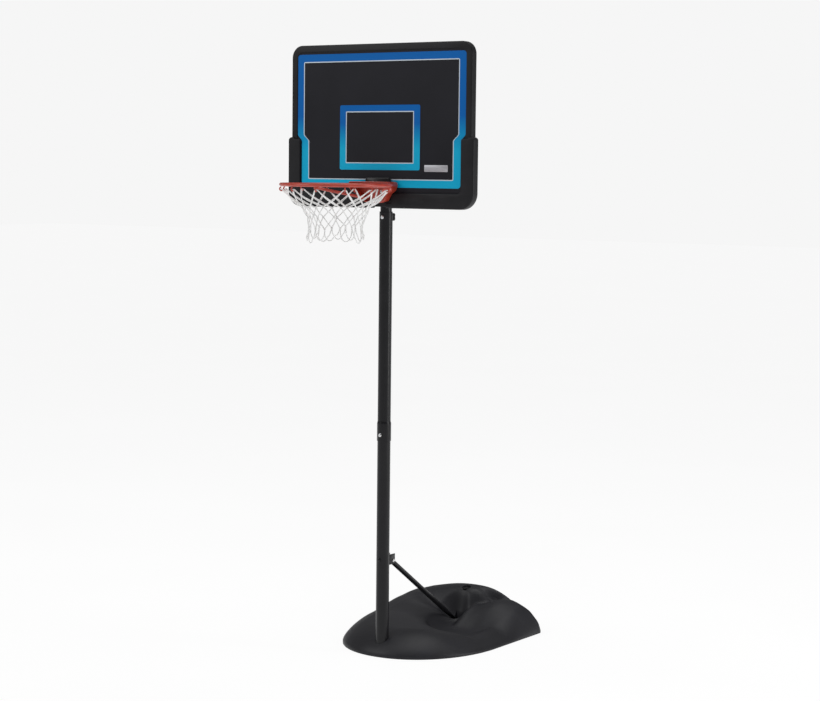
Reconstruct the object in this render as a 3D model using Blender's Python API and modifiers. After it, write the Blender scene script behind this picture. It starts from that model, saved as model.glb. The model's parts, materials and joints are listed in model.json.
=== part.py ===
"""Portable youth basketball hoop: a water-filled base, a three-piece pole and a framed board with a rim.

Units are metres, +Z is up.  The origin is on the floor under the pole's axis, the rim is towards -Y,
and X = 0 is the plane of symmetry.  The hoop stands at its lowest height.
"""
import math

import bmesh
import bpy
from mathutils import Matrix, Vector

# ---------------------------------------------------------------- driving dimensions
GAP = 0.0003                  # between pieces that touch
SLIDE_GAP = 0.0004            # between pieces that slide on each other
HOLE_GAP = 0.00045            # round a bolt's shank

TUBE_SIDES = 32               # facets round a pole tube
PIN_SIDES = 12                # facets round a bolt or a hole

# base tank
TANK_HALF_WIDTH = 0.303
TANK_MIDDLE_Y = 0.324         # where the rounded front meets the sides
TANK_FRONT_LENGTH = 0.379     # from there to the front edge
TANK_ROUNDNESS = 2.07         # exponent of the front's superellipse
TANK_CORNER_HALF_WIDTH = 0.310
TANK_CORNER_Y = 0.655
TANK_REAR_Y = 0.705
TANK_CORNER_RADIUS = 0.016
TANK_WALL = 0.0038
TANK_FOOT_LIP = 0.006         # upright edge all round, at the floor
TANK_SKIRT_FRONT = 0.150      # how far in the skirt reaches its full height
TANK_SKIRT_REAR = 0.075
SHOULDER_HEIGHT = 0.084       # front body, round the pole
BODY_HEIGHT = 0.120           # high body behind it
DOME_HEIGHT = 0.160           # top of the rear
DOME_Y = 0.595
LOBE_HEIGHT = 0.124           # curved lobe on the right of the strut's foot
APRON_HEIGHT = 0.064          # low side round the dish
DISH_FLOOR = 0.031
DISH_X = 0.130
DISH_Y = 0.365
DISH_RADIUS = 0.140
WELL_Y = 0.505                # well that the strut's toe stands in
WELL_LENGTH = 0.046
WELL_LEFT = 0.046
WELL_RIGHT = 0.034
SCOOP_DEPTH = 0.070           # how far the dome falls away towards the well
SCOOP_REACH = 0.130
SCOOP_LENGTH = 0.065
SCOOP_Y = 0.490

SOCKET_FLOOR = 0.006
SOCKET_WALL = 0.0036

FILLER_Y = 0.590
FILLER_CAP_RADIUS = 0.0165
FILLER_SEAT_DEPTH = 0.011
FILLER_NECK_RADIUS = 0.0125

# pole
TUBE_RADIUS = 0.02415
TUBE_WALL = 0.0015
TOP_TUBE_RADIUS = 0.021
JOINT_Z = 0.800               # lower end of the middle tube
BELL_LENGTH = 0.064
BELL_TAPER = 0.010
MIDDLE_TOP_Z = 1.640
HEIGHT_TRAVEL = 0.6096        # 24 in
TOP_TUBE_ENGAGED = 0.105      # what stays inside the middle tube at the greatest height
TOP_TUBE_TOP_Z = 2.030
JOINT_BOLT_RISE = 0.023       # above the middle tube's lower end
HEIGHT_BOLT_DROP = 0.017      # below the middle tube's upper end
BUSHING_LENGTH = 0.042
BUSHING_FLANGE = 0.0025

# strut from the pole to the tank
STRUT_RADIUS = 0.0095
STRUT_WALL = 0.0012
STRUT_TOP = (0.0, 0.0425, 0.3515)
STRUT_ANKLE = (0.0, 0.498, 0.0440)
STRUT_TOE = (0.0, 0.538, 0.0300)
CLEVIS_Z = 0.358
CLEVIS_SHEET = 0.0025
CLEVIS_DEPTH = 0.030
CLEVIS_HALF_HEIGHT = 0.019

# bolts
BOLT_RADIUS = 0.004
HEAD_RADIUS = 0.0072
HEAD_HEIGHT = 0.0048
NUT_RADIUS = 0.0070
NUT_HEIGHT = 0.0060

# board
BOARD_BOTTOM_Z = 1.6564
BOARD_TOP_Z = 2.2484
FRAME_HALF_WIDTH = 0.3938
FRAME_BORDER = 0.0255
FRAME_FRONT_Y = -0.0500
FRAME_CORNER = 0.045
FRAME_LIP = 0.010             # rear ledge that the panel sits on
PANEL_RECESS = 0.0025         # panel's face behind the frame's face
PANEL_FACE = 0.004            # skin of the panel
PANEL_DEPTH = 0.018
PANEL_RIB = 0.0035
POLE_BAND = 0.052             # half width of the panel's plain band behind the pole
RIM_BOLT_BAND = 0.055         # height of the plain band that the rim's bolts go into
BUMPER_HALF_WIDTH = 0.4065
BUMPER_INNER = 0.352
BUMPER_LEG_TOP_Z = 1.912
BUMPER_RUN_TOP_Z = 1.712
BUMPER_CORNER = 0.058
BUMPER_FRONT_Y = -0.0560
BUMPER_WALL = 0.0042
BUMPER_NOTCH = 0.034          # half width of the gap for the pole
BUMPER_NOTCH_TOP_Z = 1.676    # lower edge of the room for the rim's plate
BUMPER_PLATE_GAP = 0.003
BLANK_PLATE = (0.246, 1.801)  # x and z of the small plate's centre
BLANK_PLATE_SIZE = (0.100, 0.024, 0.0012)

# rim
RIM_CENTRE_Y = -0.315
RIM_Z = 1.740
RIM_RADIUS = 0.1925
RIM_ROD = 0.00635
HOOK_ROD = 0.0021
HOOK_COUNT = 12
BRACKET_HALF_WIDTH = 0.088
BRACKET_TOP_Z = 1.752
BRACKET_BOTTOM_Z = 1.676
BRACKET_TOE = 0.030           # half width at the bottom
BRACKET_SHEET = 0.0025
MOUNT_PLATE_HALF_WIDTH = 0.054
MOUNT_PLATE_TOP_Z = 1.766
MOUNT_PLATE_THICKNESS = 0.0066 # brings the bracket just in front of the bumper
BRACE_RADIUS = 0.0052
BRACE_ROOM = 0.001             # round each brace where it passes the bracket's wall
NET_TOP_RADIUS = 0.1855          # just inside the hooks
NET_TOP_Z = 1.722
NET_LOW_Z = 1.540
NET_THICKNESS = 0.0025
NET_NOTCH_GAP = 0.003           # round each brace

# ---------------------------------------------------------------- scene and small helpers
for old in list(bpy.data.objects):
    bpy.data.objects.remove(old, do_unlink=True)

PARTS = bpy.data.collections.new("portable_basketball_hoop")
CUTTERS = bpy.data.collections.new("cutters")
bpy.context.scene.collection.children.link(PARTS)
bpy.context.scene.collection.children.link(CUTTERS)

X_AXIS = Vector((1, 0, 0))
Y_AXIS = Vector((0, 1, 0))
Z_AXIS = Vector((0, 0, 1))


def linear(value):
    """One sRGB channel, 0 to 255, as linear light."""
    value /= 255
    return value / 12.92 if value <= 0.04045 else ((value + 0.055) / 1.055) ** 2.4


def material(name, colour, roughness, metallic=0.0):
    """A plain Principled material; colour is an sRGB hex string."""
    made = bpy.data.materials.new(name)
    made.use_nodes = True
    shader = made.node_tree.nodes["Principled BSDF"]
    channels = [linear(int(colour[i:i + 2], 16)) for i in (0, 2, 4)]
    shader.inputs["Base Color"].default_value = (*channels, 1.0)
    shader.inputs["Roughness"].default_value = roughness
    shader.inputs["Metallic"].default_value = metallic
    made.diffuse_color = (*channels, 1.0)
    return made


def add(name, mesh, finish, collection=PARTS):
    """Put a mesh in the scene as a named object with its material."""
    made = bpy.data.objects.new(name, mesh)
    collection.objects.link(made)
    if finish:
        mesh.materials.append(finish)
    return made


def hide_cutter(cutter):
    """Cutters are guides only."""
    cutter.hide_render = True
    cutter.display_type = "WIRE"


def cut(target, *cutters):
    """Boolean modifiers on a piece, one for each cutter."""
    for cutter in cutters:
        boolean = target.modifiers.new(cutter.name, "BOOLEAN")
        boolean.operation = "DIFFERENCE"
        boolean.solver = "EXACT"
        boolean.object = cutter
        hide_cutter(cutter)


def smooth(made, angle=35):
    """Smooth shading with creases kept."""
    made.data.shade_smooth()
    made.data.set_sharp_from_angle(angle=math.radians(angle))
    return made


def placed(direction, origin):
    """Matrix that turns local +Z to a direction and moves to an origin."""
    turn = Vector(direction).to_track_quat("Z", "Y").to_matrix().to_4x4()
    return Matrix.Translation(Vector(origin)) @ turn


def turned(name, profile, finish, matrix=None, sides=TUBE_SIDES, closed=False, collection=PARTS):
    """Turn a profile of (radius, z) about local Z with a Screw modifier."""
    mesh = bpy.data.meshes.new(name)
    edges = [(i, i + 1) for i in range(len(profile) - 1)]
    if closed:
        edges.append((len(profile) - 1, 0))
    mesh.from_pydata([(radius, 0.0, height) for radius, height in profile], edges, [])
    made = add(name, mesh, finish, collection)
    screw = made.modifiers.new("turned", "SCREW")
    screw.axis = "Z"
    screw.angle = 2 * math.pi
    screw.steps = sides
    screw.render_steps = sides
    screw.use_merge_vertices = True
    screw.merge_threshold = 0.00001
    screw.use_smooth_shade = True
    if matrix is not None:
        made.matrix_world = matrix
    return made


def tube(name, outer, inner, low, high, finish):
    """A straight open tube on the pole's axis."""
    profile = [(outer, high), (outer, low), (inner, low), (inner, high)]
    return turned(name, profile, finish, closed=True)


def rod_cutter(name, start, end, radius, sides=PIN_SIDES):
    """A plain round cutter between two points."""
    start, end = Vector(start), Vector(end)
    length = (end - start).length
    profile = [(0.0, length), (radius, length), (radius, 0.0), (0.0, 0.0)]
    return turned(name, profile, None, placed(end - start, start), sides, collection=CUTTERS)


def box(name, low, high, finish=None, collection=PARTS):
    """A box between two corners, with its place in its mesh."""
    low, high = Vector(low), Vector(high)
    mesh = bpy.data.meshes.new(name)
    form = bmesh.new()
    bmesh.ops.create_cube(form, size=1.0)
    bmesh.ops.scale(form, vec=high - low, verts=form.verts)
    bmesh.ops.translate(form, vec=(low + high) / 2, verts=form.verts)
    form.to_mesh(mesh)
    form.free()
    return add(name, mesh, finish, collection)


def as_mesh(curve_object, name, finish, collection):
    """Make a curve a welded mesh with its place in the mesh."""
    bpy.context.view_layer.update()
    seen = curve_object.evaluated_get(bpy.context.evaluated_depsgraph_get())
    mesh = bpy.data.meshes.new_from_object(seen)
    mesh.name = name
    mesh.materials.clear()
    mesh.transform(curve_object.matrix_world)
    form = bmesh.new()
    form.from_mesh(mesh)
    bmesh.ops.remove_doubles(form, verts=form.verts, dist=0.000002)
    bmesh.ops.recalc_face_normals(form, faces=form.faces)
    form.to_mesh(mesh)
    form.free()
    bpy.data.objects.remove(curve_object, do_unlink=True)
    return add(name, mesh, finish, collection)


def plate(name, loops, thickness, matrix, finish=None, collection=PARTS):
    """A flat outline with any holes, extruded evenly about the local XY plane."""
    curve = bpy.data.curves.new(name + "_outline", "CURVE")
    curve.dimensions = "2D"
    curve.fill_mode = "BOTH"
    curve.extrude = thickness / 2
    for loop in loops:
        spline = curve.splines.new("POLY")
        spline.points.add(len(loop) - 1)
        for point, (across, along) in zip(spline.points, loop):
            point.co = (across, along, 0.0, 1.0)
        spline.use_cyclic_u = True
    made = bpy.data.objects.new(name + "_outline", curve)
    collection.objects.link(made)
    made.matrix_world = matrix
    return as_mesh(made, name, finish, collection)


def upright(front_y, back_y):
    """Matrix for a plate whose outline is in X and Z, between two depths."""
    return Matrix.Translation((0, (front_y + back_y) / 2, 0)) @ Matrix.Rotation(math.pi / 2, 4, "X")


def wire(name, points, radius, finish, resolution=2, collection=PARTS):
    """A round rod through points, with closed ends."""
    curve = bpy.data.curves.new(name + "_path", "CURVE")
    curve.dimensions = "3D"
    curve.bevel_depth = radius
    curve.bevel_resolution = resolution
    curve.use_fill_caps = True
    spline = curve.splines.new("POLY")
    spline.points.add(len(points) - 1)
    for point, place in zip(spline.points, points):
        point.co = (*place, 1.0)
    made = bpy.data.objects.new(name + "_path", curve)
    collection.objects.link(made)
    return smooth(as_mesh(made, name, finish, collection))


def arc(centre, radius, start, end, steps):
    """Points of an arc; the angles are in degrees."""
    points = []
    for i in range(steps + 1):
        angle = math.radians(start + (end - start) * i / steps)
        points.append((centre[0] + radius * math.cos(angle), centre[1] + radius * math.sin(angle)))
    return points


def rounded_rectangle(half_width, low, high, radius, steps=6):
    """A rectangle about X = 0 with four equal round corners."""
    across, bottom, top = half_width - radius, low + radius, high - radius
    return (arc((across, bottom), radius, -90, 0, steps) + arc((across, top), radius, 0, 90, steps)
            + arc((-across, top), radius, 90, 180, steps) + arc((-across, bottom), radius, 180, 270, steps))


def circle(centre, radius, sides=PIN_SIDES):
    """Points of a full circle."""
    return arc(centre, radius, 0, 360 - 360 / sides, sides - 1)


def bolt(name, seat, direction, length, finish, radius=BOLT_RADIUS, head=HEAD_RADIUS,
         height=HEAD_HEIGHT):
    """A round-headed bolt; the head stands on its seat and points along the direction."""
    profile = [(0.0, height), (head * 0.72, height * 0.84), (head, height * 0.3), (head, 0.0), (radius, 0.0),
               (radius, -length), (0.0, -length)]
    return turned(name, profile, finish, placed(direction, seat), PIN_SIDES)


def nut(name, seat, direction, finish, radius=NUT_RADIUS, hole=BOLT_RADIUS + HOLE_GAP, height=NUT_HEIGHT):
    """A hexagon nut that stands on its seat."""
    hexagon = circle((0.0, 0.0), radius, 6)
    middle = Vector(seat) + Vector(direction).normalized() * height / 2
    return plate(name, [hexagon, circle((0.0, 0.0), hole)], height, placed(direction, middle), finish)


# ---------------------------------------------------------------- materials
POWDER_COAT = material("black_powder_coat", "1F1F22", 0.38, 0.2)
TANK_PLASTIC = material("blow_moulded_polyethylene", "2E2E31", 0.5)
FRAME_PLASTIC = material("moulded_frame_plastic", "1B1B1D", 0.45)
BUMPER_PLASTIC = material("bumper_plastic", "232326", 0.5)
PANEL_PLASTIC = material("printed_panel_plastic", "242428", 0.35)
PLATE_METAL = material("grey_trim_plate", "A9A9AE", 0.4, 0.3)
RIM_PAINT = material("orange_rim_paint", "C34A34", 0.35)
ZINC = material("zinc_plated_steel", "B9BABD", 0.35, 0.9)
NET_CORD = material("white_net_cord", "ECECEC", 0.85)
KNOB_PLASTIC = material("knob_plastic", "161617", 0.45)


# ---------------------------------------------------------------- base tank
def tank_outline(inset=0.0, count=72):
    """Plan of the tank as evenly spaced points, moved in by an inset."""
    dense = []
    for i in range(61):
        angle = math.pi + math.pi * i / 60
        across, along = math.cos(angle), math.sin(angle)
        power = 2 / TANK_ROUNDNESS
        dense.append((math.copysign(abs(across) ** power, across) * TANK_HALF_WIDTH,
                      TANK_MIDDLE_Y - abs(along) ** power * TANK_FRONT_LENGTH))
    radius = TANK_CORNER_RADIUS
    corner = (TANK_CORNER_HALF_WIDTH - radius, TANK_CORNER_Y - radius)
    right = arc(corner, radius, 0, 80, 5)
    sag = TANK_REAR_Y - TANK_CORNER_Y
    rear = []
    for i in range(1, 24):
        across = corner[0] * (1 - i / 12)
        rear.append((across, TANK_REAR_Y - sag * (across / corner[0]) ** 2))
    dense += right + rear + [(-across, along) for across, along in reversed(right)]
    return resampled(inset_loop(dense, inset), count)


def inset_loop(loop, distance):
    """Move a loop inwards along its corner normals; the loop runs anticlockwise."""
    moved = []
    for i, here in enumerate(loop):
        before, after = Vector(loop[i - 1]), Vector(loop[(i + 1) % len(loop)])
        along = (after - before).normalized()
        moved.append((here[0] - along.y * distance, here[1] + along.x * distance))
    return moved


def resampled(loop, count):
    """Points at even steps round a closed loop."""
    lengths = [0.0]
    for i in range(len(loop)):
        lengths.append(lengths[-1] + math.dist(loop[i], loop[(i + 1) % len(loop)]))
    points = []
    segment = 0
    for i in range(count):
        target = lengths[-1] * i / count
        while lengths[segment + 1] < target:
            segment += 1
        share = (target - lengths[segment]) / max(lengths[segment + 1] - lengths[segment], 1e-9)
        start, end = loop[segment], loop[(segment + 1) % len(loop)]
        points.append((start[0] + (end[0] - start[0]) * share, start[1] + (end[1] - start[1]) * share))
    return points


def ease(value, steps):
    """Smooth steps through (place, height) pairs."""
    result = steps[0][1]
    for (start, low), (end, high) in zip(steps, steps[1:]):
        share = min(max((value - start) / (end - start), 0.0), 1.0)
        result += (high - low) * share * share * (3 - 2 * share)
    return result


def switch(value):
    """Smooth switch from 0 to 1 as a value goes from well below 0 to well above it."""
    return 1 / (1 + math.exp(-min(max(value, -40.0), 40.0)))


def soft_larger(first, second, blend):
    """The larger of two heights, with a fillet where they cross."""
    share = min(max(0.5 + 0.5 * (first - second) / blend, 0.0), 1.0)
    return second * (1 - share) + first * share + blend * share * (1 - share)


def tank_body_height(x, y):
    """Height of the tank's top away from its edge: a high body, a low side with a dish, and a lobe."""
    along = ease(y, [(0.02, SHOULDER_HEIGHT), (0.26, SHOULDER_HEIGHT + 0.012), (0.48, BODY_HEIGHT)])
    reach = ((x - 0.02) / 0.19) ** 2 + ((y - DOME_Y) / 0.125) ** 2
    high = along + (DOME_HEIGHT - BODY_HEIGHT) * math.exp(-reach ** 1.4) - 0.12 * max(-x - 0.17, 0.0)
    high = high - SCOOP_DEPTH * math.exp(-(x / SCOOP_REACH) ** 2 - ((y - SCOOP_Y) / SCOOP_LENGTH) ** 2)
    step_x = ease(y, [(0.10, 0.12), (0.30, -0.015), (0.50, -0.028), (0.60, 0.10), (0.70, 0.36)])
    on_high = switch((step_x - x) / ease(y, [(0.05, 0.05), (0.33, 0.020)]))
    low = ease(y, [(0.06, SHOULDER_HEIGHT), (0.24, APRON_HEIGHT)]) - ease(x, [(0.16, 0.0), (0.29, 0.026)])
    round_dish = math.hypot(x - DISH_X, y - DISH_Y) / DISH_RADIUS
    dish = switch((1 - round_dish) / 0.035) * ease(x, [(0.17, 1.0), (0.27, 0.0)])
    low += (DISH_FLOOR + 0.010 * round_dish ** 2 - low) * dish
    crest_y = ease(x, [(0.0, 0.53), (0.30, 0.625)])
    crest = ease(x, [(-0.005, 0.0), (0.075, LOBE_HEIGHT - 0.024), (0.17, LOBE_HEIGHT),
                     (0.31, LOBE_HEIGHT - 0.026)])
    if y < crest_y:
        lobe = crest * math.exp(-((crest_y - y) / ease(x, [(0.12, 0.145), (0.28, 0.21)])) ** 2)
    else:
        lobe = crest * math.exp(-((y - crest_y) / 0.16) ** 2.4)
    top = soft_larger(high * on_high + low * (1 - on_high), lobe, 0.010)
    round_well = math.hypot(x / (WELL_LEFT if x < 0 else WELL_RIGHT), (y - WELL_Y) / WELL_LENGTH)
    return DISH_FLOOR + (top - DISH_FLOOR) * ease(round_well, [(0.3, 0.0), (1.6, 1.0)])


def tank_height(x, y, edge):
    """Height of the tank's skin at a point that is a distance in from its edge."""
    share = min(max((y - 0.05) / 0.50, 0.0), 1.0)
    reach = TANK_SKIRT_FRONT + (TANK_SKIRT_REAR - TANK_SKIRT_FRONT) * share
    rise = (1 - (1 - min(edge / reach, 1.0)) ** 2) ** 0.72
    return TANK_FOOT_LIP + (tank_body_height(x, y) - TANK_FOOT_LIP) * rise


def edge_distance(point, loop):
    """Distance from a point to a closed loop."""
    best = 1.0
    here = Vector(point)
    for i in range(len(loop)):
        start, end = Vector(loop[i]), Vector(loop[(i + 1) % len(loop)])
        side = end - start
        share = min(max((here - start).dot(side) / side.length_squared, 0.0), 1.0)
        best = min(best, (here - start - side * share).length)
    return best


def tank_form(name, inset, floor, drop, finish=None, collection=PARTS, rings=11, count=60):
    """The tank's outer or inner form: a flat floor, an upright lip and rings up to the middle."""
    outline = tank_outline(0.0, 240)
    loop = tank_outline(inset, count)
    middle = Vector((0.0, TANK_MIDDLE_Y))
    form = bmesh.new()
    bottom = [form.verts.new((x, y, floor)) for x, y in loop]
    form.faces.new(list(reversed(bottom)))
    previous = bottom
    for ring in range(rings):
        inward = (ring / rings) ** 1.35
        current = []
        for x, y in loop:
            place = Vector((x, y)).lerp(middle, inward)
            edge = edge_distance(place, outline)
            height = tank_height(place.x, place.y, edge) - drop
            current.append(form.verts.new((place.x, place.y, max(height, floor + 0.001 * (ring + 1)))))
        for i in range(count):
            after = (i + 1) % count
            form.faces.new((previous[i], previous[after], current[after], current[i]))
        previous = current
    edge = edge_distance(middle, outline)
    top = form.verts.new((*middle, tank_height(*middle, edge) - drop))
    for i in range(count):
        form.faces.new((previous[i], previous[(i + 1) % count], top))
    mesh = bpy.data.meshes.new(name)
    form.to_mesh(mesh)
    form.free()
    return add(name, mesh, finish, collection)


def make_tank():
    """The tank with its cavity, the pole's socket, the strut's bolt boss and the filler's seat."""
    tank = tank_form("base_tank", 0.0, 0.0, 0.0, TANK_PLASTIC)
    cavity = tank_form("tank_cavity", TANK_WALL * 1.6, TANK_WALL, TANK_WALL * 1.25, None, CUTTERS, 8, 40)
    bore = TUBE_RADIUS + SLIDE_GAP + GAP
    socket_wall = rod_cutter("socket_wall", (0, 0, -0.02), (0, 0, 0.3), bore + SOCKET_WALL, TUBE_SIDES)
    boss_y = STRUT_TOE[1] - 0.010
    boss = rod_cutter("strut_boss", (0, boss_y, -0.02), (0, boss_y, 0.3), 0.013)
    seat_top = filler_seat_z()
    neck = rod_cutter("filler_neck_wall", (0, FILLER_Y, seat_top - 0.020), (0, FILLER_Y, 0.3),
                      FILLER_CAP_RADIUS + SLIDE_GAP + TANK_WALL)
    landing_wall = box("strut_landing_wall", (-0.0165 - TANK_WALL, STRUT_ANKLE[1] - 0.035 - TANK_WALL, -0.02),
                       (0.0165 + TANK_WALL, STRUT_TOE[1] + 0.004 + TANK_WALL, 0.3), None, CUTTERS)
    cut(cavity, socket_wall, boss, neck, landing_wall)
    socket = rod_cutter("pole_socket", (0, 0, SOCKET_FLOOR), (0, 0, 0.3), bore, TUBE_SIDES)
    seat = rod_cutter("filler_seat", (0, FILLER_Y, seat_top), (0, FILLER_Y, 0.3),
                      FILLER_CAP_RADIUS + SLIDE_GAP, 24)
    throat = rod_cutter("filler_throat", (0, FILLER_Y, 0.02), (0, FILLER_Y, 0.3), FILLER_NECK_RADIUS, 24)
    landing = box("strut_landing", (-0.0165, STRUT_ANKLE[1] - 0.035, STRUT_TOE[2] - STRUT_PAD - GAP),
                  (0.0165, STRUT_TOE[1] + 0.004, 0.3), None, CUTTERS)
    hole = rod_cutter("strut_bolt_hole", (0, boss_y, 0.008), (0, boss_y, 0.3), BOLT_RADIUS + HOLE_GAP)
    cut(tank, cavity, landing, hole, socket, seat, throat)
    return smooth(tank, 40)


def filler_seat_z():
    """Height of the ledge that the filler cap screws down on."""
    edge = edge_distance((0.0, FILLER_Y), tank_outline(0.0, 240))
    return tank_height(0.0, FILLER_Y, edge) - FILLER_SEAT_DEPTH


def make_filler_cap():
    """A plug with a flat head and a recessed grip; its origin is on its axis."""
    seat = filler_seat_z() + GAP
    head, neck = FILLER_CAP_RADIUS, FILLER_NECK_RADIUS - SLIDE_GAP
    profile = [(0.0, 0.0035), (head * 0.62, 0.0035), (head * 0.70, 0.0075), (head * 0.94, 0.0075),
               (head, 0.006), (head, 0.0), (neck, 0.0), (neck, -0.012), (neck * 0.9, -0.014), (0.0, -0.014)]
    cap = turned("filler_cap", profile, KNOB_PLASTIC, Matrix.Translation((0, FILLER_Y, seat)), 24)
    slot = box("cap_grip_slot", (-head * 0.6, -0.0018, -0.0005), (head * 0.6, 0.0018, 0.02), None, CUTTERS)
    slot.matrix_world = Matrix.Translation((0, FILLER_Y, seat))
    cut(cap, slot)
    return cap


# ---------------------------------------------------------------- pole
BELL_INNER = TUBE_RADIUS + SLIDE_GAP
BELL_OUTER = BELL_INNER + TUBE_WALL
POLE_FOOT_Z = SOCKET_FLOOR + GAP
PLUG_FLANGE = 0.003
JOINT_BOLT_Z = JOINT_Z + JOINT_BOLT_RISE
HEIGHT_BOLT_Z = MIDDLE_TOP_Z - HEIGHT_BOLT_DROP
TOP_TUBE_FOOT_Z = MIDDLE_TOP_Z - HEIGHT_TRAVEL - TOP_TUBE_ENGAGED
TUBE_INNER = TUBE_RADIUS - TUBE_WALL
BUSHING_OUTER = TUBE_INNER - GAP
BUSHING_INNER = TOP_TUBE_RADIUS + SLIDE_GAP
STRUT_PAD = 0.0022            # half thickness of the strut's flattened toe


def through_bolt(name, z, reach, finish=ZINC):
    """A bolt along Y through the pole with its head in front, its nut behind and a cutter for its holes."""
    hole = rod_cutter(name + "_hole", (0, -0.06, z), (0, 0.06, z), BOLT_RADIUS + HOLE_GAP)
    made = bolt(name, (0, -reach - GAP, z), (0, -1, 0), 2 * reach + GAP + NUT_HEIGHT + 0.002, finish)
    return made, hole


def make_bottom_tube(cutters):
    """Lowest pole tube, from the socket up into the bell."""
    top = JOINT_Z + BELL_LENGTH - 0.002
    low = POLE_FOOT_Z + PLUG_FLANGE + GAP
    made = tube("pole_bottom_tube", TUBE_RADIUS, TUBE_INNER, low, top, POWDER_COAT)
    cut(made, *cutters)
    return made


def make_foot_plug():
    """Plastic plug that closes the pole's lower end and stands in the socket."""
    low, seat = POLE_FOOT_Z, POLE_FOOT_Z + PLUG_FLANGE
    inner = TUBE_INNER - GAP
    profile = [(TUBE_RADIUS, seat), (TUBE_RADIUS, low), (0.010, low), (0.010, seat + 0.015),
               (inner, seat + 0.015), (inner, seat)]
    return turned("pole_foot_plug", profile, KNOB_PLASTIC, closed=True)


def make_middle_tube(cutters):
    """Middle pole tube with its belled lower end."""
    neck = JOINT_Z + BELL_LENGTH
    waist = neck + BELL_TAPER
    profile = [(TUBE_RADIUS, MIDDLE_TOP_Z), (TUBE_RADIUS, waist), (BELL_OUTER, neck), (BELL_OUTER, JOINT_Z),
               (BELL_INNER, JOINT_Z), (BELL_INNER, neck), (TUBE_INNER, waist), (TUBE_INNER, MIDDLE_TOP_Z)]
    made = turned("pole_middle_tube", profile, POWDER_COAT, closed=True)
    cut(made, *cutters)
    return made


def make_bushing(cutters):
    """Flanged plastic guide in the middle tube's upper end."""
    low, seat = MIDDLE_TOP_Z - BUSHING_LENGTH, MIDDLE_TOP_Z + GAP
    top = seat + BUSHING_FLANGE
    profile = [(TUBE_RADIUS, top), (TUBE_RADIUS, seat), (BUSHING_OUTER, seat), (BUSHING_OUTER, low),
               (BUSHING_INNER, low), (BUSHING_INNER, top)]
    made = turned("guide_bushing", profile, KNOB_PLASTIC, closed=True)
    cut(made, *cutters)
    return made


def make_top_tube():
    """Upper pole tube; it slides in the bushing and carries the board."""
    return tube("pole_top_tube", TOP_TUBE_RADIUS, TOP_TUBE_RADIUS - TUBE_WALL, TOP_TUBE_FOOT_Z,
                TOP_TUBE_TOP_Z, POWDER_COAT)


def make_top_cap():
    """Domed cap on the pole's upper end."""
    seat = TOP_TUBE_TOP_Z + GAP
    inner = TOP_TUBE_RADIUS - TUBE_WALL - GAP
    profile = [(0.0, seat + 0.006), (0.012, seat + 0.0052), (0.019, seat + 0.0028), (TOP_TUBE_RADIUS, seat),
               (inner, seat), (inner, seat - 0.014), (inner - 0.0018, seat - 0.014), (inner - 0.0018, seat),
               (0.0, seat)]
    return turned("pole_top_cap", profile, KNOB_PLASTIC)


def make_pole():
    """The three tubes with what joins, guides and closes them."""
    reach = BELL_OUTER
    joint_bolt, joint_hole = through_bolt("section_joint_bolt", JOINT_BOLT_Z, reach)
    nut("section_joint_nut", (0, reach + GAP, JOINT_BOLT_Z), (0, 1, 0), ZINC)
    clevis_back = TUBE_RADIUS + GAP + CLEVIS_SHEET
    clevis_hole = rod_cutter("clevis_bolt_hole", (0, -0.05, CLEVIS_Z), (0, clevis_back + 0.02, CLEVIS_Z),
                             BOLT_RADIUS + HOLE_GAP)
    bolt("clevis_bolt", (0, -TUBE_RADIUS - GAP, CLEVIS_Z), (0, -1, 0),
         TUBE_RADIUS + clevis_back + NUT_HEIGHT * 0.7 + 2 * GAP, POWDER_COAT)
    nut("clevis_nut", (0, clevis_back + GAP, CLEVIS_Z), (0, 1, 0), ZINC, height=NUT_HEIGHT * 0.7)
    front_hole = rod_cutter("stop_bolt_hole", (0, 0, HEIGHT_BOLT_Z), (0, -0.05, HEIGHT_BOLT_Z),
                            BOLT_RADIUS + HOLE_GAP)
    rear_hole = rod_cutter("knob_screw_hole", (0, 0, HEIGHT_BOLT_Z), (0, 0.05, HEIGHT_BOLT_Z),
                           BOLT_RADIUS + HOLE_GAP)
    make_bottom_tube([joint_hole, clevis_hole])
    make_foot_plug()
    make_middle_tube([joint_hole, front_hole, rear_hole])
    make_bushing([front_hole, rear_hole])
    shank = TUBE_RADIUS + GAP - TOP_TUBE_RADIUS - 2 * SLIDE_GAP
    bolt("height_stop_bolt", (0, -TUBE_RADIUS - GAP, HEIGHT_BOLT_Z), (0, -1, 0), shank, ZINC)
    return [make_top_tube(), make_top_cap()]


def make_knob():
    """Three-lobed clamp knob with its screw and the weld nut that it turns in."""
    z = HEIGHT_BOLT_Z
    seat = TUBE_RADIUS + GAP
    nut("knob_weld_nut", (0, seat, z), (0, 1, 0), ZINC, NUT_RADIUS + 0.001, height=0.005)
    start = seat + 0.005 + SLIDE_GAP
    outline = []
    for i in range(36):
        angle = 2 * math.pi * i / 36
        radius = 0.0128 + 0.0026 * math.cos(3 * angle)
        outline.append((radius * math.cos(angle), radius * math.sin(angle)))
    depth = 0.014
    knob = plate("height_knob", [outline, circle((0, 0), BOLT_RADIUS + HOLE_GAP)], depth,
                 placed((0, 1, 0), (0, start + depth / 2, z)), KNOB_PLASTIC)
    smooth(knob)
    tip = TOP_TUBE_RADIUS + 2 * SLIDE_GAP
    screw = bolt("height_knob_screw", (0, start + depth + GAP, z), (0, 1, 0), start + depth + GAP - tip, ZINC,
                 head=0.0062, height=0.0028)
    return [knob, screw]


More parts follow.
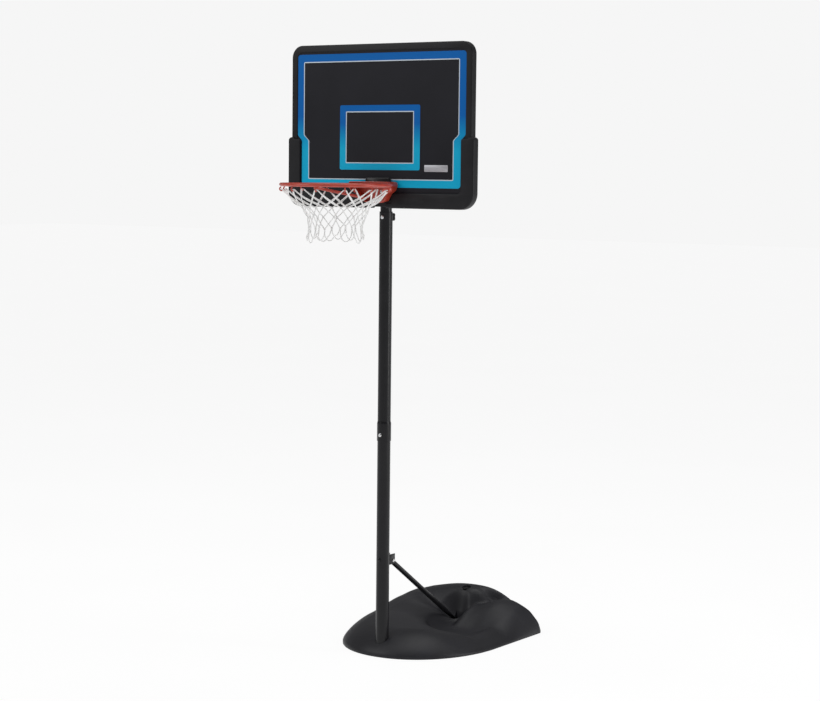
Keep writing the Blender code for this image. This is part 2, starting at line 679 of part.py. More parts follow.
# ---------------------------------------------------------------- strut
def strut_rings(wall, stop):
    """Section centres and half sizes along the strut, from its upper end; stop leaves out the toe."""
    top, ankle, toe = Vector(STRUT_TOP), Vector(STRUT_ANKLE), Vector(STRUT_TOE)
    slope = (ankle - top).normalized()
    flat = Vector((0, 1, 0))
    round_radius = STRUT_RADIUS - wall
    stations = [(top, slope, round_radius, round_radius),
                (ankle - slope * 0.075, slope, round_radius, round_radius)]
    if stop:
        stations.append((ankle - slope * 0.045, slope, round_radius * 0.9, round_radius * 0.75))
        return stations
    bend = (slope + flat).normalized()
    stations.append((ankle - slope * 0.045, slope, STRUT_RADIUS * 1.12, STRUT_RADIUS * 0.82))
    stations.append((ankle - slope * 0.016, slope, STRUT_RADIUS * 1.38, STRUT_RADIUS * 0.36))
    corner = Vector((0, ankle.y, toe.z)) + Vector((0, 0.004, 0.0006))
    stations.append((corner, bend, STRUT_RADIUS * 1.42, STRUT_PAD))
    stations.append((Vector((0, corner.y + 0.010, toe.z)), flat, STRUT_RADIUS * 1.42, STRUT_PAD))
    stations.append((toe - flat * 0.006, flat, STRUT_RADIUS * 1.42, STRUT_PAD))
    stations.append((toe, flat, STRUT_RADIUS * 0.85, STRUT_PAD))
    return stations


def loft(form, stations, sides=20):
    """Rings of elliptical sections in a bmesh; local X is world X."""
    rings = []
    for centre, along, half_width, half_height in stations:
        lift = X_AXIS.cross(along).normalized()
        ring = []
        for i in range(sides):
            angle = 2 * math.pi * i / sides
            place = centre + X_AXIS * half_width * math.cos(angle) + lift * half_height * math.sin(angle)
            ring.append(form.verts.new(place))
        rings.append(ring)
    for first, second in zip(rings, rings[1:]):
        for i in range(sides):
            after = (i + 1) % sides
            form.faces.new((first[i], first[after], second[after], second[i]))
    return rings


def make_strut():
    """Tube with an open upper end and a flattened toe that is bolted to the tank."""
    form = bmesh.new()
    outer = loft(form, strut_rings(0.0, False))
    inner = loft(form, strut_rings(STRUT_WALL, True))
    form.faces.new(outer[-1])
    form.faces.new(inner[-1])
    sides = len(outer[0])
    for i in range(sides):
        after = (i + 1) % sides
        form.faces.new((outer[0][i], outer[0][after], inner[0][after], inner[0][i]))
    bmesh.ops.recalc_face_normals(form, faces=form.faces)
    mesh = bpy.data.meshes.new("strut")
    form.to_mesh(mesh)
    form.free()
    strut = add("strut", mesh, POWDER_COAT)
    pivot = strut_pivot()
    cross_hole = rod_cutter("strut_cross_hole", (-0.03, pivot.y, pivot.z), (0.03, pivot.y, pivot.z),
                            BOLT_RADIUS + HOLE_GAP)
    boss_y = STRUT_TOE[1] - 0.010
    toe_hole = rod_cutter("strut_toe_hole", (0, boss_y, 0.0), (0, boss_y, 0.08), BOLT_RADIUS + HOLE_GAP)
    cut(strut, cross_hole, toe_hole)
    return smooth(strut), cross_hole


def strut_pivot():
    """Where the cross bolt goes through the strut's upper end."""
    slope = (Vector(STRUT_ANKLE) - Vector(STRUT_TOP)).normalized()
    return Vector(STRUT_TOP) + slope * 0.0115


def make_strut_fixings(cross_hole):
    """Clevis on the pole, its cross bolt and nut, and the bolt that holds the toe down."""
    ear = STRUT_RADIUS + GAP
    outside = ear + CLEVIS_SHEET
    front = TUBE_RADIUS + GAP
    pivot = strut_pivot()
    back = pivot.y + 0.010
    outline = [(-outside, front), (outside, front), (outside, back), (ear, back), (ear, front + CLEVIS_SHEET),
               (-ear, front + CLEVIS_SHEET), (-ear, back), (-outside, back)]
    centre_z = (CLEVIS_Z + pivot.z) / 2
    clevis = plate("strut_clevis", [outline], 2 * CLEVIS_HALF_HEIGHT, Matrix.Translation((0, 0, centre_z)),
                   POWDER_COAT)
    pole_hole = rod_cutter("clevis_pole_hole", (0, 0, CLEVIS_Z), (0, front + 0.006, CLEVIS_Z),
                           BOLT_RADIUS + HOLE_GAP)
    cut(clevis, cross_hole, pole_hole)
    bolt("strut_cross_bolt", (outside + GAP, pivot.y, pivot.z), X_AXIS, 2 * outside + NUT_HEIGHT + 0.002,
         ZINC)
    nut("strut_cross_nut", (-outside - GAP, pivot.y, pivot.z), -X_AXIS, ZINC)
    seat = STRUT_TOE[2] + STRUT_PAD + GAP
    bolt("strut_toe_bolt", (0, STRUT_TOE[1] - 0.010, seat), Z_AXIS, 0.022, ZINC, head=0.0085)


# ---------------------------------------------------------------- board
BOARD_BACK_Y = -TOP_TUBE_RADIUS - GAP
PANEL_HALF_WIDTH = FRAME_HALF_WIDTH - FRAME_BORDER
PANEL_LOW_Z = BUMPER_RUN_TOP_Z - 0.020
PANEL_HIGH_Z = BOARD_TOP_Z - FRAME_BORDER
FRAME_LOW_Z = BOARD_BOTTOM_Z + BUMPER_WALL + GAP
PANEL_FRONT_Y = FRAME_FRONT_Y + PANEL_RECESS
PANEL_BACK_Y = PANEL_FRONT_Y + PANEL_DEPTH
SADDLE_SHEET = 0.003
SADDLE_HALF_HEIGHT = 0.018
SADDLE_BOLT_X = 0.038
SADDLE_HEIGHTS = {"lower": 1.790, "upper": 1.975}
RIM_BOLT_X = 0.020
RIM_BOLT_Z = 1.716


def make_frame():
    """Moulded frame with a rear ledge for the panel."""
    outer = rounded_rectangle(FRAME_HALF_WIDTH, FRAME_LOW_Z, BOARD_TOP_Z, FRAME_CORNER, 8)
    ledge = rounded_rectangle(PANEL_HALF_WIDTH - FRAME_LIP, PANEL_LOW_Z + FRAME_LIP, PANEL_HIGH_Z - FRAME_LIP,
                              0.016, 4)
    frame = plate("board_frame", [outer, ledge], BOARD_BACK_Y - FRAME_FRONT_Y,
                  upright(FRAME_FRONT_Y, BOARD_BACK_Y), FRAME_PLASTIC)
    pocket = plate("panel_pocket",
                   [rounded_rectangle(PANEL_HALF_WIDTH, PANEL_LOW_Z, PANEL_HIGH_Z, 0.022, 4)],
                   PANEL_BACK_Y - FRAME_FRONT_Y + 0.02, upright(FRAME_FRONT_Y - 0.02, PANEL_BACK_Y),
                   None, CUTTERS)
    cut(frame, pocket)
    return frame


def make_panel():
    """Panel blank; its rear is hollowed last, by rib_cells."""
    half, low, high = PANEL_HALF_WIDTH - GAP, PANEL_LOW_Z + GAP, PANEL_HIGH_Z - GAP
    back = PANEL_BACK_Y - GAP
    return plate("board_panel", [rounded_rectangle(half, low, high, 0.022, 4)], back - PANEL_FRONT_Y,
                 upright(PANEL_FRONT_Y, back), PANEL_PLASTIC)


def rib_cells(rows=5, columns=3):
    """Cutter of the cells behind the panel, clear of the pole's band and the frame's ledge."""
    edge = FRAME_LIP + 0.003
    bottom, top = PANEL_LOW_Z + edge + RIM_BOLT_BAND, PANEL_HIGH_Z - edge
    pitch_z = (top - bottom + PANEL_RIB) / rows
    pitch_x = (PANEL_HALF_WIDTH - edge - POLE_BAND + PANEL_RIB) / columns
    cells = bmesh.new()
    for side in (-1, 1):
        for column in range(columns):
            for row in range(rows):
                near = POLE_BAND + column * pitch_x
                left, right = sorted((side * near, side * (near + pitch_x - PANEL_RIB)))
                start = bottom + row * pitch_z
                size = Vector((right - left, 0.05, pitch_z - PANEL_RIB))
                middle = Vector(((left + right) / 2, PANEL_FRONT_Y + PANEL_FACE + 0.025, start + size.z / 2))
                matrix = Matrix.Translation(middle) @ Matrix.Diagonal((*size, 1.0))
                bmesh.ops.create_cube(cells, size=1.0, matrix=matrix)
    mesh = bpy.data.meshes.new("rib_cells")
    cells.to_mesh(mesh)
    cells.free()
    return add("rib_cells", mesh, None, CUTTERS)


def bumper_outline(side):
    """L outline of one half of the bumper; side is -1 for the left half and 1 for the right."""
    outer, low = BUMPER_HALF_WIDTH, BOARD_BOTTOM_Z
    inner, top, leg = BUMPER_INNER, BUMPER_RUN_TOP_Z, BUMPER_LEG_TOP_Z
    points = [(BUMPER_NOTCH, low)]
    points += arc((outer - BUMPER_CORNER, low + BUMPER_CORNER), BUMPER_CORNER, -90, 0, 8)
    points += arc((outer - 0.010, leg - 0.010), 0.010, 0, 90, 3)
    points += [(outer - 0.022, leg), (outer - 0.027, leg - 0.006)]
    points += [(inner + 0.006, leg - 0.006), (inner, leg - 0.012)]
    points += arc((inner - 0.012, top + 0.012), 0.012, 0, -90, 3)
    beside_plate = MOUNT_PLATE_HALF_WIDTH + BUMPER_PLATE_GAP
    points += [(beside_plate, top), (beside_plate, BUMPER_NOTCH_TOP_Z), (BUMPER_NOTCH, BUMPER_NOTCH_TOP_Z)]
    return [(side * x, z) for x, z in points]


def make_bumper():
    """Two L-shaped halves that wrap the frame's lower half, either side of the pole and the rim's plate."""
    room = rounded_rectangle(FRAME_HALF_WIDTH + GAP, FRAME_LOW_Z - GAP, BOARD_TOP_Z, FRAME_CORNER, 8)
    frame_room = plate("frame_room", [room], BOARD_BACK_Y + 0.02 - FRAME_FRONT_Y + GAP,
                       upright(FRAME_FRONT_Y - GAP, BOARD_BACK_Y + 0.02), None, CUTTERS)
    made = []
    for name, side in (("left", -1), ("right", 1)):
        half = plate("board_bumper_" + name, [bumper_outline(side)], BOARD_BACK_Y - BUMPER_FRONT_Y,
                     upright(BUMPER_FRONT_Y, BOARD_BACK_Y), BUMPER_PLASTIC)
        cut(half, frame_room)
        made.append(half)
    return made


def make_saddle(name, z):
    """Omega-shaped steel strap that holds the board to the pole, with its two bolts."""
    ring, sheet = TOP_TUBE_RADIUS + GAP, SADDLE_SHEET
    flange = BOARD_BACK_Y + GAP
    outside = ring + sheet
    end = SADDLE_BOLT_X + 0.012
    outline = [(-end, flange), (-ring, flange)]
    outline += [(x, y) for x, y in arc((0, 0), ring, 180, 0, 12)]
    outline += [(ring, flange), (end, flange), (end, flange + sheet), (outside, flange + sheet)]
    outline += [(x, y) for x, y in arc((0, 0), outside, 0, 180, 12)]
    outline += [(-outside, flange + sheet), (-end, flange + sheet)]
    saddle = plate("pole_saddle_" + name, [outline], 2 * SADDLE_HALF_HEIGHT, Matrix.Translation((0, 0, z)),
                   POWDER_COAT)
    made = [saddle]
    for side, x in (("left", -SADDLE_BOLT_X), ("right", SADDLE_BOLT_X)):
        hole = rod_cutter(f"saddle_hole_{name}_{side}", (x, -0.01, z), (x, PANEL_FRONT_Y + 0.005, z),
                          BOLT_RADIUS + HOLE_GAP)
        cut(saddle, hole)
        cut(bpy.data.objects["board_panel"], hole)
        made.append(bolt(f"saddle_bolt_{name}_{side}", (x, flange + sheet + GAP, z), (0, 1, 0),
                         0.024, ZINC))
    return made


def make_blank_plate():
    """Small plain trim plate on the panel's lower right."""
    x, z = BLANK_PLATE
    width, height, thickness = BLANK_PLATE_SIZE
    corners = rounded_rectangle(width / 2, -height / 2, height / 2, 0.003, 3)
    outline = [(x + across, z + along) for across, along in corners]
    front = PANEL_FRONT_Y - GAP - thickness
    return plate("blank_trim_plate", [outline], thickness, upright(front, front + thickness), PLATE_METAL)


# ---------------------------------------------------------------- rim
PLATE_FRONT_Y = FRAME_FRONT_Y - GAP - MOUNT_PLATE_THICKNESS
BRACKET_BACK_Y = PLATE_FRONT_Y - GAP
RIM_REAR_Y = RIM_CENTRE_Y + RIM_RADIUS


def bracket_outline(shrink=0.0):
    """Shield outline of the rim bracket."""
    wide, toe = BRACKET_HALF_WIDTH - shrink, BRACKET_TOE - shrink * 0.6
    top, bottom = BRACKET_TOP_Z - shrink, BRACKET_BOTTOM_Z + shrink
    side = [(toe, bottom), (toe + 0.020, bottom + 0.008), (wide - 0.022, BRACKET_TOP_Z - 0.043),
            (wide - 0.006, BRACKET_TOP_Z - 0.031), (wide, BRACKET_TOP_Z - 0.018), (wide, top - 0.008),
            (wide - 0.003, top - 0.002), (wide - 0.009, top)]
    return side + [(-x, z) for x, z in reversed(side)]


def make_bracket(holes, braces):
    """Tray-shaped steel bracket, deep at the top where the ring is welded, with room for the braces' feet."""
    front = RIM_REAR_Y + RIM_ROD + GAP
    bracket = plate("rim_bracket", [bracket_outline()], BRACKET_BACK_Y - front,
                    upright(front, BRACKET_BACK_Y), RIM_PAINT)
    hollow_back = BRACKET_BACK_Y - BRACKET_SHEET
    hollow = plate("bracket_hollow", [bracket_outline(BRACKET_SHEET)], hollow_back - front + 0.02,
                   upright(front - 0.02, hollow_back), None, CUTTERS)
    below, shoulder = BRACKET_BOTTOM_Z - 0.01, BRACKET_TOP_Z - 0.022
    wedge = [(front - 0.01, below), (hollow_back - 0.012, below), (front, shoulder), (front - 0.01, shoulder)]
    sideways = Matrix(((0, 0, 1, 0), (1, 0, 0, 0), (0, 1, 0, 0), (0, 0, 0, 1)))
    slope = plate("bracket_slope", [wedge], 0.4, sideways, None, CUTTERS)
    room = []
    for index, path in enumerate(braces):
        knee, foot = Vector(path[-2]), Vector(path[-1])
        room.append(rod_cutter(f"brace_room_{index + 1}", knee, foot.lerp(knee, 0.05),
                               BRACE_RADIUS + BRACE_ROOM))
    cut(bracket, *holes, hollow, slope, *room)
    return bracket


def make_mount_plate(holes):
    """Black plate between the rim bracket and the board."""
    outline = rounded_rectangle(MOUNT_PLATE_HALF_WIDTH, BRACKET_BOTTOM_Z + 0.018, MOUNT_PLATE_TOP_Z, 0.008, 4)
    made = plate("rim_mount_plate", [outline], MOUNT_PLATE_THICKNESS,
                 upright(PLATE_FRONT_Y, PLATE_FRONT_Y + MOUNT_PLATE_THICKNESS), POWDER_COAT)
    cut(made, *holes)
    return made


def make_ring():
    """The ring: a torus of round rod."""
    bpy.ops.mesh.primitive_torus_add(major_radius=RIM_RADIUS, minor_radius=RIM_ROD, major_segments=60,
                                     minor_segments=8, location=(0, RIM_CENTRE_Y, RIM_Z))
    ring = bpy.context.object
    ring.name = "rim_ring"
    ring.data.name = "rim_ring"
    for owner in list(ring.users_collection):
        owner.objects.unlink(ring)
    PARTS.objects.link(ring)
    ring.data.materials.append(RIM_PAINT)
    return smooth(ring)


def brace_path(side):
    """Rod from under the ring, between two hooks, inside the next hook and down to the bracket's foot."""
    under = RIM_Z - RIM_ROD - BRACE_RADIUS - GAP
    points = []
    for angle, radius, drop in ((30, RIM_RADIUS, 0.0), (35, RIM_RADIUS - 0.013, 0.002),
                                (40, RIM_RADIUS - 0.024, 0.006)):
        turn = math.radians(angle)
        points.append((side * radius * math.cos(turn), RIM_CENTRE_Y + radius * math.sin(turn), under - drop))
    points.append((side * (BRACKET_TOE + 0.002), BRACKET_BACK_Y - BRACKET_SHEET - GAP - 0.7 * BRACE_RADIUS,
                   BRACKET_BOTTOM_Z + 0.014))
    return points


def make_hook(index):
    """Net hook: a wire tongue that hangs from the ring and turns up at its tip."""
    angle = math.radians(-90 + 15 + 30 * index)
    out = Vector((math.cos(angle), math.sin(angle), 0))
    centre = Vector((0, RIM_CENTRE_Y, RIM_Z))
    top = -RIM_ROD - GAP - HOOK_ROD
    path = [(0.0035, top), (-0.001, top - 0.001), (-0.004, top - 0.006), (-0.003, top - 0.0105),
            (0.0015, top - 0.0115), (0.005, top - 0.009), (0.006, top - 0.0055)]
    points = [centre + out * (RIM_RADIUS + across) + Z_AXIS * rise for across, rise in path]
    return wire(f"net_hook_{index + 1:02d}", points, HOOK_ROD, RIM_PAINT, 1)


def make_net(braces):
    """Plain sleeve that stands for the knotted net, with a notch in its top edge for each brace."""
    stations = [(NET_TOP_RADIUS, NET_TOP_Z), (0.146, 1.690), (0.118, 1.662), (0.100, 1.625), (0.094, 1.585),
                (0.097, NET_LOW_Z)]
    inner = [(radius - NET_THICKNESS, z) for radius, z in reversed(stations)]
    net = turned("net", stations + inner, NET_CORD, Matrix.Translation((0, RIM_CENTRE_Y, 0)), 24, closed=True)
    for index, path in enumerate(braces):
        cut(net, wire(f"net_notch_{index + 1}", path, BRACE_RADIUS + NET_NOTCH_GAP, None, 1, CUTTERS))
    return net


def make_rim():
    """Ring, bracket, plate, braces, hooks, net and the two bolts that hold the rim on."""
    holes = []
    made = []
    for side, x in (("left", -RIM_BOLT_X), ("right", RIM_BOLT_X)):
        holes.append(rod_cutter("rim_bolt_hole_" + side, (x, -0.10, RIM_BOLT_Z), (x, -0.028, RIM_BOLT_Z),
                                BOLT_RADIUS + HOLE_GAP))
        seat = (x, BRACKET_BACK_Y - BRACKET_SHEET - GAP, RIM_BOLT_Z)
        made.append(bolt("rim_bolt_" + side, seat, (0, -1, 0), 0.022, ZINC))
    cut(bpy.data.objects["board_panel"], *holes)
    braces = {"left": brace_path(-1), "right": brace_path(1)}
    made += [make_mount_plate(holes), make_bracket(holes, braces.values()), make_ring()]
    made.append(make_net(braces.values()))
    for name, path in braces.items():
        made.append(wire("rim_brace_" + name, path, BRACE_RADIUS, RIM_PAINT))
    made += [make_hook(index) for index in range(HOOK_COUNT)]
    return made


# ---------------------------------------------------------------- assembly
def carrier(name, place, pieces):
    """An empty on a joint's axis that carries the pieces that move with it."""
    empty = bpy.data.objects.new(name, None)
    empty.empty_display_size = 0.05
    empty.location = place
    PARTS.objects.link(empty)
    bpy.context.view_layer.update()
    for piece in pieces:
        keep = piece.matrix_world.copy()
        piece.parent = empty
        piece.matrix_parent_inverse = empty.matrix_world.inverted()
        piece.matrix_world = keep
    return empty


def main():
    """Build the hoop, then hang the moving pieces on their joints."""
    make_tank()
    make_filler_cap()
    upper = make_pole()
    knob = make_knob()
    _, cross_hole = make_strut()
    make_strut_fixings(cross_hole)
    upper += [make_frame(), make_panel(), make_blank_plate()]
    upper += make_bumper()
    for name, z in SADDLE_HEIGHTS.items():
        upper += make_saddle(name, z)
    upper += make_rim()
    cut(bpy.data.objects["board_panel"], rib_cells())
    carrier("height_slide", (0, 0, MIDDLE_TOP_Z), upper)
    carrier("knob_axis", (0, TUBE_RADIUS, HEIGHT_BOLT_Z), knob)


main()
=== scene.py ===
"""Looks of a portable basketball hoop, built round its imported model. Metres, +Z up, pole on the Z axis."""

import json
import math
import random

import bmesh
import bpy
import numpy as np
from mathutils import Matrix, Vector


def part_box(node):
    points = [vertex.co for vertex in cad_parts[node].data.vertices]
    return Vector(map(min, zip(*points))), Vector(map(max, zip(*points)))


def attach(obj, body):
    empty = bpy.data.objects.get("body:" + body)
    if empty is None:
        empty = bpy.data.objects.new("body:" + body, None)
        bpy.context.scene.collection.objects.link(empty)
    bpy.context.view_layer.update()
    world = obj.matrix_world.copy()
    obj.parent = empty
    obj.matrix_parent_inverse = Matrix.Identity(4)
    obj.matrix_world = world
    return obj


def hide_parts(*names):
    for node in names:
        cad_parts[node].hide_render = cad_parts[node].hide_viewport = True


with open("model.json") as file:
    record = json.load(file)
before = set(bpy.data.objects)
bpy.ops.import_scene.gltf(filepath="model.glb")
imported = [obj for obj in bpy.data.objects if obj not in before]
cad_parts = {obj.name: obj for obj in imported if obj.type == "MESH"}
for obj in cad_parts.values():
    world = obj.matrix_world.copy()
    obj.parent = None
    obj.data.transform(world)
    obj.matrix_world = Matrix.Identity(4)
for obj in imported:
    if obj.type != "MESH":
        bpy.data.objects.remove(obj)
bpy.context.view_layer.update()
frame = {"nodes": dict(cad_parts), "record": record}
RECORD = frame["record"]

# -------- sizes
# camera
AIM_HEIGHT = 1.1346
AIM_RIGHT = 0.0925
CAMERA_TURN = math.radians(33.63)
CAMERA_RISE = math.radians(5.16)
CAMERA_ROLL = math.radians(0.61)
CAMERA_DISTANCE = 7.3667
CAMERA_LENS = 88.04

# studio
ROOM_LIGHT = 0.24
FLOOR_REACH = 40.0
FLOOR_DROP = 0.0005
FLOOR_GLOW = 0.90
# name, place, what it faces, size and watts of each soft box
SOFT_BOXES = (("key_box", (-3.4, -4.2, 4.6), (0, 0, 1.2), (2.2, 2.8), 95),
              ("side_box", (4.4, 1.4, 2.2), (0, 0, 1.2), (0.9, 3.2), 70),
              ("top_box", (0.2, 0.4, 6.2), (0.2, 0.4, 0), (5.0, 5.0), 150))

# tank
TANK_HALF_WIDTH = 0.303
TANK_MIDDLE_Y = 0.324
TANK_FRONT_LENGTH = 0.379
TANK_ROUNDNESS = 2.07
TANK_CORNER_HALF_WIDTH = 0.310
TANK_CORNER_Y = 0.655
TANK_REAR_Y = 0.7046
TANK_CORNER_RADIUS = 0.016
TANK_FOOT_LIP = 0.006
TANK_SKIRT_FRONT = 0.150
TANK_SKIRT_REAR = 0.075
SHOULDER_HEIGHT = 0.084
BODY_HEIGHT = 0.120
DOME_HEIGHT = 0.160
DOME_Y = 0.595
LOBE_HEIGHT = 0.124
APRON_HEIGHT = 0.064
DISH_FLOOR = 0.031
DISH_X = 0.130
DISH_Y = 0.365
DISH_RADIUS = 0.140
WELL_Y = 0.505
WELL_LENGTH = 0.046
WELL_LEFT = 0.046
WELL_RIGHT = 0.034
SCOOP_DEPTH = 0.070           # how far the dome falls away towards the well
SCOOP_REACH = 0.130
SCOOP_LENGTH = 0.065
SCOOP_Y = 0.490
FILLER_Y = 0.590
FILLER_RADIUS = 0.0169
FILLER_THROAT_RADIUS = 0.0129
FILLER_THROAT_DEPTH = 0.016
CAP_HEAD = 0.0075
SOCKET_RADIUS = 0.0249
SOCKET_FLOOR_Z = 0.0062
LANDING_HALF_WIDTH = 0.0165   # pocket that the strut's toe lies in
LANDING_LENGTH = 0.075
LANDING_PAST_TOE = 0.004
TOE_BOLT_HOLE_RADIUS = 0.00445
ABOVE_TANK = 0.30             # height that the tank's cutters reach to
TANK_ROUND = 260              # points round the tank's plan
TANK_RINGS = 64               # rings from its edge to its middle

# pole
TUBE_RADIUS = 0.02415
TUBE_WALL = 0.0015
TUBE_EDGE = 0.0004            # rounding of a cut tube end
TOP_TUBE_RADIUS = 0.021
JOINT_Z = 0.800
BELL_LENGTH = 0.064
BELL_TAPER = 0.010
BELL_GAP = 0.0004
MIDDLE_TOP_Z = 1.640
TUBE_SIDES = 96

# board
FRAME_FRONT_Y = -0.0500
FRAME_HALF_WIDTH = 0.3938
FRAME_LOW_Z = 1.6609
FRAME_CORNER = 0.045
FRAME_LIP = 0.010
FRAME_EDGE = 0.0024
BOARD_BOTTOM_Z = 1.6564
BOARD_TOP_Z = 2.2484
BOARD_BACK_Y = -0.0213
PANEL_FRONT_Y = -0.0475
PANEL_BACK_Y = -0.0295
PANEL_HALF_WIDTH = 0.3683
PANEL_LOW_Z = 1.692
PANEL_HIGH_Z = 2.2229
PANEL_CORNER = 0.022
BUMPER_FRONT_Y = -0.0560
BUMPER_HALF_WIDTH = 0.4065
BUMPER_INNER = 0.352
BUMPER_LEG_TOP_Z = 1.912
BUMPER_RUN_TOP_Z = 1.712
BUMPER_CORNER = 0.058
BUMPER_NOTCH = 0.034
BUMPER_NOTCH_TOP_Z = 1.676
BUMPER_PLATE_ROOM = 0.057
BUMPER_EDGE = 0.0046
BUMPER_TIP_RADIUS = 0.012     # leg's outer top corner
BUMPER_INSET_RADIUS = 0.007   # leg's inner top corner
BUMPER_CROOK_RADIUS = 0.014   # where the leg meets the run

# printed bands
PRINT_THICKNESS = 0.0001
PRINT_LINE = 0.0034
BAND_LOWER, BAND_UPPER = 0.349, 0.368
BAND_LOW_Z, BAND_HIGH_Z = 1.731, 2.215
LINE_LOWER, LINE_UPPER = 0.3190, 0.3410
LINE_LOW_Z, LINE_HIGH_Z = 1.7580, 2.1880
JOG_LOW_Z, JOG_HIGH_Z = 1.896, 1.924
TARGET_HALF_WIDTH = 0.1755
TARGET_LOW_Z, TARGET_HIGH_Z = 1.794, 2.028
TARGET_LINE_HALF_WIDTH = 0.149
TARGET_LINE_LOW_Z, TARGET_LINE_HIGH_Z = 1.8175, 2.0055

# rim
RIM_Y = -0.315
RIM_Z = 1.740
RIM_RADIUS = 0.1925
RIM_ROD = 0.00635
BRACKET_BACK_Y = -0.0572
BRACKET_SHEET = 0.0025
BRACKET_TOE = 0.030
BRACKET_BOTTOM_Z = 1.676
BRACE_RADIUS = 0.0052
HOOK_COUNT = 12
HOOK_ROD = 0.0024
HOOK_CURL = 0.0062            # radius of a hook's curl
HOOK_START = -75              # degrees from +X to the first hook
TOUCH = 0.0003
RING_SIDES = 20
RING_STEPS = 200
END_SHARE = 0.55              # a rod's end face, as a share of its radius
END_ROUND = 0.35              # length of its rounding, as a share of its radius

# net
CORD_RADIUS = 0.0019
NET_ROWS = ((0.117, 1.661), (0.101, 1.627), (0.0955, 1.590), (0.095, 1.5415))
NET_SEED = 11
NET_STRAY = 0.005             # how far a knot or cord strays from its even place
TWIN_GAP = 2.1 * CORD_RADIUS  # between the two cords on each hook
TWIN_SPREAD = 0.0024
LEG_BULGE = 0.004
LOOP_STRAY = 0.008
LOOP_HALF_WIDTH = 0.0165
LOOP_RISE = 0.016
KNOT_TURNS = 1.4

# CAD nodes that only need softer edges, with the rounding of each, and those that need none
ROUNDED_PARTS = {"rim_bracket": 0.0006, "rim_mount_plate": 0.0008, "strut_clevis": 0.0005,
                 "pole_saddle_lower": 0.0005, "pole_saddle_upper": 0.0005, "blank_trim_plate": 0.0003,
                 "height_knob": 0.0016}
SMALL_PARTS = ("filler_cap", "section_joint_bolt", "section_joint_nut", "clevis_bolt", "clevis_nut",
               "pole_foot_plug", "guide_bushing", "height_stop_bolt", "pole_top_cap", "knob_weld_nut",
               "height_knob_screw", "strut", "strut_cross_bolt", "strut_cross_nut", "strut_toe_bolt",
               "saddle_bolt_lower_left", "saddle_bolt_lower_right", "saddle_bolt_upper_left",
               "saddle_bolt_upper_right", "rim_bolt_left", "rim_bolt_right")

BODY_OF = {node: body for body, nodes in RECORD["behaviour"]["bodies"].items() for node in nodes}
SLOT_OF = {part["node"]: part["material_slot"] for part in RECORD["subparts"]}


# -------- node helpers
def linear(colour):
    """An sRGB hex colour as linear red, green, blue and alpha."""
    channels = [int(colour[i:i + 2], 16) / 255 for i in (1, 3, 5)]
    return [c / 12.92 if c <= 0.04045 else ((c + 0.055) / 1.055) ** 2.4 for c in channels] + [1.0]


def add_node(tree, kind, inputs=None, stops=None, **settings):
    """Add a node, set its properties and inputs; another node given as an input links its first output."""
    made = tree.nodes.new(kind)
    for name, value in settings.items():
        setattr(made, name, value)
    for name, value in (inputs or {}).items():
        socket = made.inputs[name]
        if isinstance(value, bpy.types.Node):
            value = value.outputs[0]
        if isinstance(value, bpy.types.NodeSocket):
            tree.links.new(value, socket)
        else:
            socket.default_value = value
    if stops:
        ramp = made.color_ramp
        while len(ramp.elements) < len(stops):
            ramp.elements.new(0.5)
        for element, (place, colour) in zip(ramp.elements, stops):
            element.position = place
            element.color = linear(colour)
    return made


def surface_finish(name, constants):
    """A material with a Principled shader whose constant inputs are set; gives its tree and its places."""
    made = bpy.data.materials.new(name)
    made.use_nodes = True
    tree = made.node_tree
    tree.nodes.clear()
    output = add_node(tree, "ShaderNodeOutputMaterial")
    shader = add_node(tree, "ShaderNodeBsdfPrincipled", constants)
    tree.links.new(shader.outputs["BSDF"], output.inputs["Surface"])
    places = add_node(tree, "ShaderNodeTexCoord").outputs["Object"]
    return made, tree, shader, places


def dress(tree, shader, colour=None, gloss=None, relief=None):
    """Link the nodes that give a finish its colour, gloss and relief to its shader."""
    for node, socket in ((colour, "Base Color"), (gloss, "Roughness"), (relief, "Normal")):
        if node is not None:
            tree.links.new(node.outputs[0], shader.inputs[socket])


def clouded_finish(name, constants, scale, detail, tones, low_gloss, high_gloss):
    """A finish whose colour and gloss drift together in soft clouds."""
    made, tree, shader, places = surface_finish(name, constants)
    cloud = add_node(tree, "ShaderNodeTexNoise", {"Vector": places, "Scale": scale, "Detail": detail})
    tone = add_node(tree, "ShaderNodeValToRGB", {"Fac": cloud}, tones)
    gloss = add_node(tree, "ShaderNodeMapRange", {"Value": cloud, "To Min": low_gloss, "To Max": high_gloss})
    dress(tree, shader, tone, gloss)
    return made, tree, shader, places


# -------- materials
def blow_moulded_polyethylene():
    """HDPE blown into a sand-blasted mould: deep satin grey-black, faintly mottled, soft wide highlights."""
    made, tree, shader, places = clouded_finish("blow_moulded_polyethylene", {
        "IOR": 1.54, "Specular IOR Level": 0.30},
        9.0, 5.0, [(0.30, "#1D1D21"), (0.72, "#242429")], 0.40, 0.52)
    # blasted grain, drawn at 2.5 mm so that it shows
    grain = add_node(tree, "ShaderNodeTexNoise", {"Vector": places, "Scale": 400.0, "Detail": 2.0})
    # wall sinks a little unevenly as the blown skin cools
    sink = add_node(tree, "ShaderNodeTexNoise", {"Vector": places, "Scale": 14.0, "Detail": 1.0})
    waves = add_node(tree, "ShaderNodeBump", {"Height": sink, "Strength": 0.25, "Distance": 0.004})
    bump = add_node(tree, "ShaderNodeBump", {"Height": grain, "Strength": 0.22, "Distance": 0.0006,
                                             "Normal": waves})
    dress(tree, shader, relief=bump)
    return made


